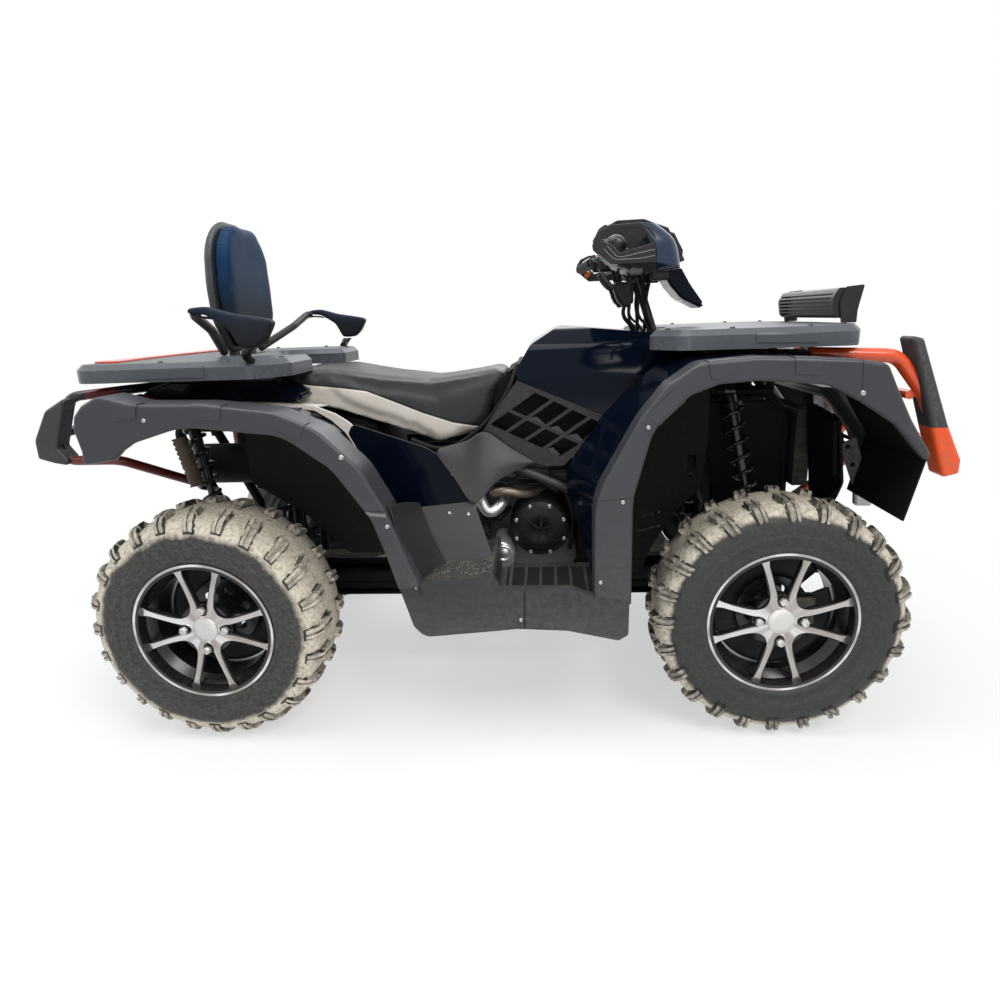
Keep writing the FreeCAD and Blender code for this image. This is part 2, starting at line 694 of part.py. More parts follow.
def make_frame():
    y = rail_y
    lower = bent_tube([
        (rail_front_x - 60, y, front_rail_z), (rail_front_x, y, 760), (rail_front_x, y, rail_low_z),
        (rail_rear_x, y, rail_low_z), (rail_rear_x, y, 480), (rail_rear_x - 120, y, rear_rail_z - 40)], frame_tube, 50)
    upper = bent_tube([
        (rail_rear_x - 120, y, rear_rail_z - 60), (rail_rear_x - 130, y, rear_rail_z), (-560, y, rear_rail_z),
        (-330, y, seat_rail_z), (90, y, seat_rail_z), (430, y, front_rail_z),
        (rail_front_x - 50, y, front_rail_z)], frame_tube + 0.5, 50)
    pieces = [join([lower, upper])]
    for low_x, high_x, high_z in (
        (330, 200, seat_rail_z + 20), (-260, -430, rear_rail_z - 40),
        (rear_axle_x + lower_spread + 10, -600, rear_rail_z),
    ):
        pieces.append(rod((low_x, y, rail_low_z), (high_x, y, high_z), frame_tube - 1))
    knee = (front_axle_x - upper_spread + 15, y, upper_pivot_z - 5)
    pieces.append(rod((front_axle_x - 27, y, rail_low_z), knee, frame_tube - 1))
    pieces.append(rod(knee, (front_shock_top[0] - 34, y, front_rail_z), frame_tube - 1))
    for axle_x in (front_axle_x, rear_axle_x):
        for way in (-1, 1):
            pieces.append(mirrored(arm_bracket(axle_x + way * lower_spread, lower_pivot_y, lower_pivot_z)))
            pieces.append(mirrored(arm_bracket(axle_x + way * upper_spread, upper_pivot_y, upper_pivot_z)))
    pieces += [mirrored(p) for p in pieces]
    for x, z in (
        (rail_front_x - 40, rail_low_z), (560, rail_low_z), (330, rail_low_z), (-120, rail_low_z),
        (-260, rail_low_z), (-560, rear_rail_z), (rail_rear_x + 40, rail_low_z),
    ):
        pieces.append(rod((x, -y, z), (x, y, z), frame_tube - 3))
    # Shock towers and their cross tubes
    for spot, rail_z in ((front_shock_top, front_rail_z), (rear_shock_top, rear_rail_z)):
        x, reach, z = spot
        pieces.append(rod((x - 34, -reach, z), (x - 34, reach, z), frame_tube - 3))
        for way in (-1, 1):
            pieces.append(rod((x - 34, way * y, rail_z), (x - 34, way * y, z), frame_tube - 3))
            pieces.append(rod((x - 34, way * (reach - 1), z), (x - 14 - run_gap, way * (reach - 1), z), 12))
    # Upper and lower bearings of the steering column
    axis = column_axis()
    for distance, x, z in ((-190, 540, front_rail_z), (-655, front_axle_x - upper_spread + 15, upper_pivot_z + 20)):
        spot = along_column(distance)
        pieces.append(Part.makeCylinder(column_radius + 12, 26, spot - axis * 13, axis))
        for way in (-1, 1):
            pieces.append(rod((x, way * y, z), (spot.x, way * 4, spot.z), 11))
    # Footrest bars
    for way in (-1, 1):
        pieces.append(bent_tube([
            (foot_bar_front, way * y, rail_low_z), (foot_bar_front, way * 380, floor_z - 60),
            (foot_bar_front, way * 470, floor_z - frame_tube), (foot_bar_rear, way * 470, floor_z - frame_tube),
            (foot_bar_rear, way * 380, floor_z - 60), (foot_bar_rear, way * y, rail_low_z)], frame_tube - 3, 40))
    # Rack posts
    for way in (-1, 1):
        for x, top, low in rack_posts():
            pieces.append(rod((x, way * y, low), (x, way * y, top), 11))
    low, high = along_column(column_low - 10), along_column(column_high)
    column_bore = Part.makeCylinder(column_radius + bearing_gap, (high - low).Length, low, axis)
    return join(pieces).cut(column_bore)


def rack_posts():
    """Each post's X, its top under the rack and the rail that carries it."""
    return (
        (front_post_x, front_rack_low, front_rail_z), (front_post_x + 250, front_rack_low, front_rail_z),
        (rear_post_x, rear_rack_low, rear_rail_z), (rear_post_x + 300, rear_rack_low, rear_rail_z),
    )


def make_engine():
    case = side_plate([
        (-90, 330, 30), (-60, case_low_z, 30), (230, case_low_z, 30), (262, 340, 30), (250, 480, 30),
        (200, 560, 20), (40, 575, 20), (-80, 520, 40)], -case_half_width, case_half_width)
    barrel = block(45, 190, -72, 72, 560, 668)
    barrel = turned(barrel, (118, 0, 540), Y_AXIS, 8)
    fins = []
    for i in range(5):
        fin = block(34, 201, -84, 84, 584 + 17 * i, 590 + 17 * i)
        fins.append(turned(fin, (118, 0, 540), Y_AXIS, 8))
    mounts = [rod((x, -rail_y, case_low_z - 4), (x, rail_y, case_low_z - 4), 12) for x in (-20, 180)]
    save("engine_case", join([case, barrel] + fins + mounts).cut(parts["frame"]))
    cover = Part.makeCylinder(side_cover_radius, 62, V(side_cover_x, -case_half_width - 62, side_cover_z), Y_AXIS)
    belt = side_plate([
        (-100, 400, 70), (-60, 310, 70), (190, 310, 80), (250, 400, 70), (200, 490, 80), (-40, 490, 70)],
        case_half_width, case_half_width + 70)
    save("engine_covers", Part.makeCompound([cover, belt]))
    drive = []
    for x, z in ((front_axle_x, tyre_radius), (rear_axle_x, tyre_radius)):
        drive.append(Part.makeCylinder(58, 2 * diff_half_width, V(x, -diff_half_width, z), Y_AXIS))
    feet = [[rod((x + w * 20, -rail_y, 264), (x + w * 20, rail_y, 264), 9) for w in (-1, 1)]
            for x in (front_axle_x, rear_axle_x)]
    front = join([drive[0], rod((front_axle_x - 40, 0, 322), (front_axle_x - 100, 0, 322), 34),
                  rod((front_axle_x - 90, 0, 322), (240, 0, 340), 14)] + feet[0])
    rear = join([drive[1], rod((rear_axle_x + 40, 0, 322), (rear_axle_x + 100, 0, 322), 34),
                 rod((rear_axle_x + 90, 0, 322), (-70, 0, 345), 14)] + feet[1])
    lines = [piece.cut(parts["frame"]).cut(parts["engine_case"]) for piece in (front, rear)]
    save("drive_line", Part.makeCompound(lines))
    save("muffler", join([
        Part.makeCylinder(64, 300, V(-960, 0, 640), X_AXIS), rod((-1000, 0, 640), (-950, 0, 640), 24),
        bent_tube([(-670, 0, 640), (-480, 0, 620), (-300, 0, 520), (-60, 0, 480)], 20, 60),
        rod((-890, -rail_y, 640), (-890, rail_y, 640), 9)]).cut(parts["frame"]).cut(parts["engine_case"]))
    near = rail_front_x + frame_tube + run_gap
    save("radiator", block(near, near + 42, -150, 150, 572, 790).cut(parts["frame"]))
    save("skid_plate", side_plate([
        (-600, rail_low_z - frame_tube - skid_thickness, 0), (rail_front_x - 100, rail_low_z - frame_tube - skid_thickness, 0),
        (rail_front_x - 100, rail_low_z - frame_tube, 0), (-600, rail_low_z - frame_tube, 0)], -rail_y - 30, rail_y + 30))


# Bodywork

# Wheel-arch flares, X measured from the axle and Z: the outer line from end to end, then the arch's edge back again
front_curve = [
    (-462.5, 380, 0), (-463.5, 647, 200), (-361.5, 833, 120), (-301.5, 909, 60), (-234.5, 955, 60), (-107.5, 964, 200), (102.5, 953, 100),
    (167.5, 942, 25), (194.5, 886, 40), (230.5, 818, 60), (280.5, 739, 6),
]
front_edge = [
    (271.5, 722, 6), (195.5, 809, 30), (132.5, 852, 60), (45.5, 899, 80), (-103.5, 912, 120), (-189.5, 906, 60),
    (-252.5, 882, 60), (-328.5, 810, 120), (-372.5, 646, 200), (-372.5, 380, 0),
]
rear_curve = [
    (-222.5, 758, 10), (-220.5, 791, 30), (-230.5, 845, 30), (-222.5, 876, 20), (-200.5, 900, 20), (-157.5, 922, 40),
    (-77.5, 899, 60), (89.5, 895, 200), (252.5, 875, 120), (353.5, 831, 120), (449.5, 735, 120), (500.5, 638, 120),
    (539.5, 530, 60), (585.5, 400, 0),
]
rear_edge = [
    (526.5, 400, 0), (492.5, 520, 100), (462.5, 613, 120), (378.5, 736, 120), (268.5, 817, 120), (33.5, 844, 200),
    (-91.5, 808, 60), (-120.5, 790, 40), (-144.5, 768, 20),
]
front_pads = [
    ((-346.5, 842), (-286.5, 902), (-255.5, 866), (-307.5, 812)), ((-216.5, 962), (-155.5, 970), (-159.5, 924), (-207.5, 918)),
    ((-31.5, 970), (28.5, 966), (24.5, 922), (-29.5, 926)),
]
front_seams = [((-472.5, 641), (-362.5, 652)), ((110.5, 960), (118.5, 840))]
rear_pads = [
    ((-130.5, 925), (-62.5, 906), (-68.5, 868), (-124.5, 862)), ((67.5, 903), (137.5, 900), (133.5, 858), (67.5, 862)),
    ((257.5, 884), (332.5, 852), (313.5, 806), (259.5, 836)),
]
rear_seams = [((447.5, 632), (557.5, 640))]

# Fender skins, X measured from the axle and Z: the outline beside the flare and the one at the fender's inner edge
front_outer = [
    (-462.5, 421, 0), (-463.5, 647, 200), (-361.5, 833, 120), (-301.5, 909, 60), (-234.5, 955, 60), (-107.5, 964, 200), (102.5, 953, 100),
    (167.5, 942, 25), (194.5, 886, 40), (230.5, 818, 60), (280.5, 739, 30), (233.5, 531, 0), (233.5, 300, 0), (-462.5, 300, 0),
]
front_inner = [
    (-515.5, 421, 0), (-519.5, 660, 60), (-422.5, 800, 100), (-317.5, 905, 80), (-237.5, 960, 60), (-107.5, 968, 200), (102.5, 960, 100),
    (182.5, 940, 25), (207.5, 886, 40), (242.5, 818, 60), (288.5, 739, 30), (242.5, 531, 0), (242.5, 300, 0), (-515.5, 300, 0),
]
rear_outer = [
    (-217.5, 790, 0), (-228.5, 850, 20), (-197.5, 898, 25), (-157.5, 920, 40), (-77.5, 899, 60), (89.5, 895, 200),
    (252.5, 875, 120), (353.5, 831, 120), (449.5, 735, 120), (500.5, 638, 120), (542.5, 520, 60), (580.5, 435, 0),
    (580.5, 300, 0), (-217.5, 300, 0),
]
rear_inner = [
    (-217.5, 790, 0), (-222.5, 832, 20), (-192.5, 852, 25), (-157.5, 858, 40), (-77.5, 860, 60), (89.5, 857, 200),
    (252.5, 848, 120), (329.5, 800, 120), (382.5, 725, 120), (445.5, 620, 120), (492.5, 530, 60), (537.5, 435, 0),
    (537.5, 300, 0), (-217.5, 300, 0),
]
skirt_top = [
    (-196, 434, 6), (-119, 446, 20), (9, 455, 20), (37, 468, 10), (60, 424, 20), (229, 425, 60), (271, 408, 20),
    (370, 391, 8),
]
skirt_foot = [
    (369, 301, 12), (345, 286, 12), (303, 295, 40), (218, 313, 60), (96, 318, 60), (50, 313, 40), (-138, 296, 40),
    (-164, 326, 12), (-190, 417, 10),
]


def from_axle(points, axle_x):
    """Points of a wheel-arch outline, moved to where its axle is."""
    return [(p[0] + axle_x,) + tuple(p[1:]) for p in points]


def arch_flare(line, edge, outer_y, pads, seams):
    """Right-hand flare: rounded skin with a lip round the arch, raised pads, and grooves where its pieces meet."""
    outline = line + edge

    def band(inset, inner_y):
        face_y = -outer_y + inset
        prism = side_plate(inset_outline(outline, inset), face_y, -inner_y)
        return prism.makeFillet(flare_round - inset, edges_at(prism, "Y", face_y))

    deep = inset_outline(line + [(line[-1][0], 200, 0), (line[0][0], 200, 0)], plastic)
    shape = band(0, flare_inner_y).cut(band(plastic, flare_inner_y - 20))
    shape = shape.cut(side_plate(deep, -outer_y + flare_lip, -flare_inner_y + 20))
    raised, kept = band(-pad_height, flare_inner_y), band(plastic / 2, flare_inner_y - 20)
    for corners in pads:
        patch = side_plate([corner + (4,) for corner in corners], -outer_y - 10, -outer_y + 40)
        shape = shape.fuse(raised.common(patch).cut(kept))
    sunk = band(seam_depth, flare_inner_y - 20)
    for start, end in seams:
        along = V(end[0] - start[0], end[1] - start[1], 0).normalize() * (seam_width / 2)
        strip = [(p[0] + way * along.y, p[1] - way * along.x, 0)
                 for p, way in ((start, -1), (end, -1), (end, 1), (start, 1))]
        shape = shape.cut(side_plate(strip, -outer_y - 10, -flare_inner_y + 10).cut(sunk))
    return shape


def fender_skin(outer, inner, inner_y):
    """Fender from flare to flare, hollow below: a loft down to each flare and a deck between them."""
    shells = []
    for inset in (0, plastic):
        side = loft(inset_outline(outer, inset), -flare_inner_y, inset_outline(inner, inset), -inner_y)
        deck = side_plate(inset_outline(inner, inset), -inner_y, inner_y)
        shells.append(side.fuse(deck).fuse(mirrored(side)))
    return shells[0].cut(shells[1])


def make_fenders():
    far = 2000
    posts = join([rod((x, w * rail_y, low), (x, w * rail_y, top + 50), 11)
                  for x, top, low in rack_posts() for w in (-1, 1)])
    skirt = side_plate(inset_outline(skirt_top + skirt_foot, -run_gap), -far, far)
    low_cut = front_plate([
        (-flare_inner_y - 10, 421, 0), (-shoulder_y, 600, 0), (shoulder_y, 600, 0), (flare_inner_y + 10, 421, 0),
        (flare_inner_y + 10, 200, 0), (-flare_inner_y - 10, 200, 0)], 200, 640)
    front = fender_skin(from_axle(front_outer, front_axle_x), from_axle(front_inner, front_axle_x), shoulder_y)
    for gap in (low_cut, block(200, cowl_front_x, -shoulder_y, shoulder_y, 380, 1100),
                block(nose_x, far, -far, far, 200, far), block(600, far, -far, far, 200, 700), posts, skirt):
        front = front.cut(gap)
    save("front_fender", largest(front))
    rear_low = front_plate([
        (-flare_inner_y - 10, 435, 0), (-rear_shoulder_y, 577, 0), (rear_shoulder_y, 577, 0),
        (flare_inner_y + 10, 435, 0), (flare_inner_y + 10, 200, 0), (-flare_inner_y - 10, 200, 0)], -600, 0)
    rear = fender_skin(from_axle(rear_outer, rear_axle_x), from_axle(rear_inner, rear_axle_x), rear_shoulder_y)
    rear = rear.cut(top_plate([(x, y, 12) for x, y in ((-912, -225), (-832, -225), (-832, 225), (-912, 225))], 800, 900))
    for gap in (rear_low, block(-690, -60, -rear_shoulder_y, rear_shoulder_y, 380, 1100),
                block(-far, -700, -far, far, 200, 800), posts, skirt):
        rear = rear.cut(gap)
    save("rear_fender", largest(rear))
    for name, axle_x, line, edge, outer_y, pads, seams in (
        ("front", front_axle_x, front_curve, front_edge, flare_y, front_pads, front_seams),
        ("rear", rear_axle_x, rear_curve, rear_edge, rear_flare_y, rear_pads, rear_seams),
    ):
        pads, seams = ([from_axle(points, axle_x) for points in group] for group in (pads, seams))
        flare = arch_flare(from_axle(line, axle_x), from_axle(edge, axle_x), outer_y, pads, seams)
        flare = largest(flare.cut(skirt))
        save(f"{name}_flares", pair(flare))


def make_liners():
    """Mudguard sheets in front of the front wheels, and the walls between the wheels and the frame."""
    def sheet_behind(outline, y0, y1):
        outer = side_plate(inset_outline(outline, plastic + run_gap), y0, y1)
        return outer.cut(side_plate(inset_outline(outline, 2 * plastic + run_gap), y0 - 5, y1 + 5))
    guard = sheet_behind(from_axle(front_outer, front_axle_x), -flare_y + plastic + run_gap, -shoulder_y)
    guard = guard.common(block(nose_x - 25, 1100, -600, 0, 585, 900))
    guard = guard.cut(parts["front_flares"]).cut(parts["front_fender"])
    save("front_liners", pair(largest(guard)))
    wall = side_plate([
        (300, 333, 6), (436, 333, 6), (452, 400, 60), (475, 450, 60), (535, 540, 60), (596, 600, 30), (606, 720, 30),
        (606, 990, 6), (500, 990, 6), (380, 930, 30), (240, 760, 60), (300, 640, 60)], -guard_y - plastic, -guard_y)
    for low in (470, 512):
        wall = wall.cut(side_plate([(424, low, 4), (505 - (512 - low) / 3, low + 18, 4), (505 - (512 - low) / 3, low + 26, 4),
                                    (424, low + 8, 4)], -300, -200))
    wall = wall.cut(side_plate([(556, 630, 3), (578, 630, 3), (578, 690, 3), (556, 690, 3)], -300, -200))
    rear_y = -rear_shoulder_y + plastic + run_gap
    rear = side_plate([
        (-640, 650, 30), (-640, 848, 20), (-480, 838, 60), (-345, 790, 60), (-255, 600, 60), (-215, 470, 30),
        (-250, 440, 6), (-380, 440, 40), (-500, 560, 60)], rear_y, rear_y + plastic)
    for piece in ("front_fender", "rear_fender", "frame"):
        wall, rear = wall.cut(parts[piece]), rear.cut(parts[piece])
    save("inner_guards", Part.makeCompound([largest(wall), mirrored(largest(wall)), largest(rear), mirrored(largest(rear))]))


def rack(outline, low, high, ribs):
    """Moulded rack: chamfered all round its top, hollow below, with ribs across."""
    body = top_plate(outline, low, high)
    body = body.makeChamfer(rack_chamfer, edges_at(body, "Z", high))
    room = top_plate(inset_outline(outline, rack_chamfer + rack_wall), low - 1, high - rack_wall)
    bars = [block(x - rack_wall / 2, x + rack_wall / 2, -rack_half_width, rack_half_width, low - 2, high) for x in ribs]
    return body.cut(room.cut(join(bars)))


def make_racks():
    half = rack_half_width
    front = rack([
        (434, -half + 90, 30), (500, -half, 40), (900, -half, 40), (960, -half + 130, 60), (975, 0, 200),
        (960, half - 130, 60), (900, half, 40), (500, half, 40), (434, half - 90, 30), (520, 0, 60)],
        front_rack_low, front_rack_high, (600, 700, 800, 870))
    axis = column_axis()
    clear = Part.makeCylinder(42, 400, along_column(-300), axis)
    seats = [rod((x, w * rail_y, front_rack_low - 1), (x, w * rail_y, front_rack_high - rack_wall), 24)
             for x, top, low in rack_posts() for w in (-1, 1) if x > 0]
    boss = join([block(front_post_x - 30, front_post_x + 280, w * rail_y - 16, w * rail_y + 16, front_rack_low,
                       front_rack_high - rack_wall + 1) for w in (-1, 1)])
    save("front_rack", front.fuse(boss).cut(clear))
    rear = rack([
        (-1037, -half + 40, 40), (-1037, half - 40, 40), (-1000, half, 40), (-560, half, 30), (-485, half - 90, 30),
        (-485, 150, 20), (-690, 150, 20), (-690, -150, 20), (-485, -150, 20), (-485, -half + 90, 30),
        (-560, -half, 30), (-1000, -half, 40)], rear_rack_low, rear_rack_high, (-950, -800, -740))
    rear = rear.fuse(join([block(rear_post_x - 20, rear_post_x + 30, w * rail_y - 16, w * rail_y + 16, rear_rack_low,
                                 rear_rack_high - rack_wall + 1) for w in (-1, 1)]))
    for way_x in (-0.5, 0.5):
        for way_y in (-0.5, 0.5):
            spot = V(rack_holes_x + way_x * rack_holes_length, way_y * rack_holes_width, rear_rack_low - 1)
            rear = rear.cut(Part.makeCylinder(rack_hole_radius, rear_rack_high - rear_rack_low + 2, spot, Z_AXIS))
    save("rear_rack", rear)


def make_light_bar():
    """Lamp housing with cooling fins along its back, and its end brackets on the rack."""
    base = front_rack_high + light_base
    housing = side_plate([
        (light_x, base, 20), (light_x - 8, base + 50, 20), (light_x + 6, base + 76, 12), (light_x + 44, base + 76, 4),
        (light_x + 44, base, 4)], -light_half_width, light_half_width)
    for i in range(6):
        low = base + 8 + 10 * i
        housing = housing.cut(block(light_x - 10, light_x + 12, -light_half_width + 14, light_half_width - 14, low, low + 5))
    housing = housing.cut(block(light_x + 40, light_x + 45, -light_half_width + 8, light_half_width - 8, base + 8, base + 68))
    bracket = side_plate([
        (light_x + 18, front_rack_high, 3), (light_x + 10, base + 40, 10), (light_x + 22, base + 78, 6),
        (light_x + 68, base + 82, 4), (light_x + 56, base + 20, 8), (light_x + 56, front_rack_high, 3)],
        -light_half_width - 5 - run_gap, -light_half_width - run_gap)
    save("light_bar", Part.makeCompound([housing, pair(bracket)]))


def make_backrest():
    """D-shaped pad with its shell behind, on posts from the rear rack."""
    half = backrest_half_width
    outline = [
        (-half * 0.55, 1000, 30), (-half * 0.95, 1085, 60), (-half, 1180, 200), (-half * 0.88, 1300, 90),
        (-half * 0.5, 1352, 60), (half * 0.5, 1352, 60), (half * 0.88, 1300, 90), (half, 1180, 200),
        (half * 0.95, 1085, 60), (half * 0.55, 1000, 30)]
    front_x = backrest_x - backrest_pad
    pad = front_plate(outline, front_x, backrest_x)
    back_pad = pad.makeFillet(14, edges_at(pad, "X", backrest_x))
    grown = inset_outline(outline, -7)
    back_x = front_x - backrest_shell
    shell = front_plate(grown, back_x, front_x - run_gap)
    shell = shell.makeFillet(16, edges_at(shell, "X", back_x))
    save("backrest_shell", shell)
    bars = []
    for way in (-1, 1):
        bars.append(bent_tube([
            (back_x + 14, way * 130, rear_rack_high + 12 + run_gap), (-700, way * 300, 1060), (-684, way * 425, 1104),
            (-600, way * 432, 1092), (-500, way * 430, 1072), (-560, way * 432, 1000),
            (-560, way * 400, rear_rack_high + run_gap)], 12, 40))
        y0, y1 = sorted((way * 45, way * 75))
        bars.append(block(back_x + 3, back_x + 23, y0, y1, rear_rack_high, 1020))
    bars = join(bars)
    bars = bars.cut(parts["rear_rack"]).cut(parts["backrest_shell"])
    pad = side_plate([
        (-690, 1096, 10), (-684, 1116, 10), (-640, 1120, 20), (-576, 1101, 20), (-478, 1084, 8), (-470, 1074, 6),
        (-492, 1034, 12), (-516, 1012, 12), (-566, 1010, 16), (-590, 1060, 30), (-640, 1092, 20)], -455, -410)
    pad = pad.makeFillet(8, edges_at(pad, "Y", -455))
    save("backrest", Part.makeCompound([back_pad, pair(pad)]))
    save("grab_bars", bars.cut(parts["backrest"]))


def make_seat():
    outline = [
        (-661, 912, 20), (-600, 936, 60), (-441, 940, 120), (-287, 914, 200), (-146, 898, 200), (-19, 914, 200),
        (83, 931, 20), (0, 760, 60), (-128, 717, 60), (-438, 828, 60), (-656, 862, 20),
    ]
    side = side_plate(outline, -200, 200)
    plan = top_plate([
        (-670, -150, 60), (-520, -195, 120), (-200, -165, 200), (100, -130, 60), (100, 130, 60),
        (-200, 165, 200), (-520, 195, 120), (-670, 150, 60)], 600, 1000)
    save("seat", side.common(plan).cut(parts["frame"]).cut(parts["rear_rack"]))
    side = [
        (91, 919, 10), (134, 990, 40), (216, 1038, 60), (403, 1019, 200), (cowl_front_x - run_gap, 1000, 10),
        (cowl_front_x - run_gap, 940, 10), (506, 950, 20), (428, 893, 60), (333, 800, 10), (104, 899, 10)]
    section = [
        (-cowl_half, 700, 0), (-cowl_half, 800, 60), (-cowl_half + 14, 905, 60), (-186, 985, 60), (-120, 1030, 60),
        (0, 1044, 200), (120, 1030, 60), (186, 985, 60), (cowl_half - 14, 905, 60), (cowl_half, 800, 60),
        (cowl_half, 700, 0)]
    outer = side_plate(side, -300, 300).common(front_plate(section, 0, 700))
    room = [(a, b - 60 if k > 4 else b, r) for k, (a, b, r) in enumerate(inset_outline(side, plastic))]
    inner = side_plate(room, -300, 300).common(front_plate(inset_outline(section, plastic), 0, 700))
    cowl = outer.cut(inner).cut(Part.makeCylinder(44, 500, along_column(-380), column_axis()))
    for piece in ("front_rack", "frame", "seat", "front_fender"):
        cowl = cowl.cut(parts[piece])
    save("cowl", largest(cowl))


def make_side_panels():
    """Louvred panels under the cowl, smooth panels under the seat and the cream trim above them."""
    panel = [
        (99, 900, 8), (345, 794, 8), (268, 716, 30), (222, 664, 10), (168, 664, 20), (20, 728, 20), (-2, 762, 10),
        (52, 840, 30)]
    plate = side_plate(panel, -side_panel_y, -side_panel_y + louvre_depth)
    room = side_plate(inset_outline(panel, 8), -side_panel_y - 5, 0)
    along = V(louvre_along[0], louvre_along[1], 0)
    for way in (louvre_up, louvre_down):
        for i in range(-1, louvre_columns):
            start = V(louvre_start[0], louvre_start[1], 0) + along * i
            corners = [start, start + along, start + along + V(*way), start + V(*way)]
            hole = inset_outline([(p.x, p.y, 5) for p in corners], louvre_web / 2)
            plate = plate.cut(side_plate(hole, -side_panel_y - 5, 0).common(room))
    save("side_panels", pair(largest(plate.cut(parts["cowl"]))))
    panel = side_plate([
        (-340, 806, 20), (-149, 739, 40), (-117, 719, 20), (-72, 664, 40), (-27, 584, 10), (-200, 560, 20),
        (-262, 620, 20), (-325, 725, 20), (-352, 780, 10)], -rear_shoulder_y - plastic, -rear_shoulder_y + plastic)
    panel = largest(panel.cut(parts["rear_fender"]).cut(parts["frame"]))
    save("rear_side_panels", pair(panel))
    band = side_plate([
        (-470, 849, 0), (-437, 844, 10), (-395, 818, 30), (-360, 784, 30), (-341, 751, 20), (-337, 728, 20),
        (-298, 677, 2), (-301, 699, 30), (-317, 773, 40), (-346, 809, 30), (-383, 834, 40), (-436, 855, 20), (-470, 860, 0)],
        -rear_shoulder_y - plastic, -rear_shoulder_y + plastic)
    strip = sheet(smooth_line([(-657, 862), (-589, 859), (-519, 858), (-440, 852)], -rear_shoulder_y),
                  smooth_line([(-657, 871), (-566, 863), (-478, 849), (-440, 846)], -206), V(0, 0, -plastic))
    trim = join([band, strip])
    for piece in ("rear_fender", "rear_side_panels", "seat", "frame", "rear_rack", "inner_guards"):
        trim = trim.cut(parts[piece])
    save("rear_trim", pair(largest(trim)))


def make_footwells():
    """Foot tray with a raised rim, ribs across its floor, a heel shelf and the guard above it."""
    outline = skirt_top + skirt_foot
    inner_y, outer_y = -footwell_inner_y, -footwell_y
    wall_x, front_x = 44, 380
    slab = block(wall_x, front_x, outer_y, inner_y, floor_z - plastic, floor_z)
    riser = block(wall_x - plastic, wall_x, outer_y, inner_y, floor_z - plastic, 500)
    rim = block(wall_x, front_x, outer_y + foot_rim - plastic, outer_y + foot_rim, floor_z - plastic, 500)
    room = side_plate(inset_outline(outline, plastic), outer_y + plastic, inner_y + 50).cut(join([slab, riser, rim]))
    over = block(wall_x, front_x, outer_y + foot_rim, inner_y + 50, floor_z, 520)
    tray = side_plate(outline, outer_y, inner_y).cut(room).cut(over)
    ribs = [block(70 + 40 * i, 78 + 40 * i, outer_y + foot_rim - 2, inner_y - 20, floor_z - 2, floor_z + floor_rib)
            for i in range(7)]
    guard = sheet(smooth_line([(-215, 570), (-24, 588)], -rear_shoulder_y - plastic),
                  smooth_line([(-125, 443), (30, 458)], -415), V(0, 0, -plastic * 1.5))
    tray = join([tray, guard] + ribs)
    for name in ("frame", "rear_fender", "rear_flares", "rear_side_panels", "front_fender", "front_flares",
                 "inner_guards", "engine_covers", "engine_case", "muffler"):
        tray = tray.cut(parts[name])
    save("footwells", pair(largest(tray)))


def make_bumpers():
    front = bent_tube([
        (813, 360, 955), (1020, 360, 945), (1095, 360, 850), (1150, 360, 720), (1150, -360, 720),
        (1095, -360, 850), (1020, -360, 945), (813, -360, 955)], bumper_tube, 60)
    stay = [rod((rail_front_x, w * rail_y, 500), (1150, w * rail_y, 720), 12) for w in (-1, 1)]
    link = rod((1062, -360, 850), (1062, 360, 850), 11)
    save("front_bumper", join([front, link] + stay).cut(parts["frame"]))
    parts["front_fender"] = largest(parts["front_fender"].cut(parts["front_bumper"]))
    guard = side_plate([
        (1033, 993, 8), (1066, 985, 12), (1147, 780, 40), (bumper_front_x, 690, 6), (bumper_front_x, 655, 6),
        (1150, 645, 12), (1108, 767, 30)], -390, -330)
    guard = guard.makeFillet(12, edges_at(guard, "Y", -390))
    save("bumper_guards", pair(guard.cut(parts["front_bumper"])))
    rear = bent_tube([
        (rear_post_x - 6, rail_y + 4, 908), (-975, 260, 908), (-1090, 340, 900), (-1150, 360, 820), (-1130, 360, 730),
        (-984, 350, 727), (-866, rail_y + 8, 590)], 13, 40)
    cross = rod((-1150, -360, 800), (-1150, 360, 800), 13)
    whole = join([rear, mirrored(rear), cross])
    save("rear_bumper", whole.cut(parts["rear_fender"]).cut(parts["rear_rack"]).cut(parts["frame"]))
    cap = side_plate([
        (bumper_rear_x, 740, 8), (bumper_rear_x, 790, 30), (-1145, 868, 30), (-1075, 906, 12), (-1093, 870, 12),
        (-1130, 770, 12), (-1093, 717, 12), (-1148, 727, 12)], -385, -335)
    cap = cap.makeFillet(8, edges_at(cap, "Y", -385))
    save("rear_bumper_ends", pair(cap.cut(parts["rear_bumper"])))


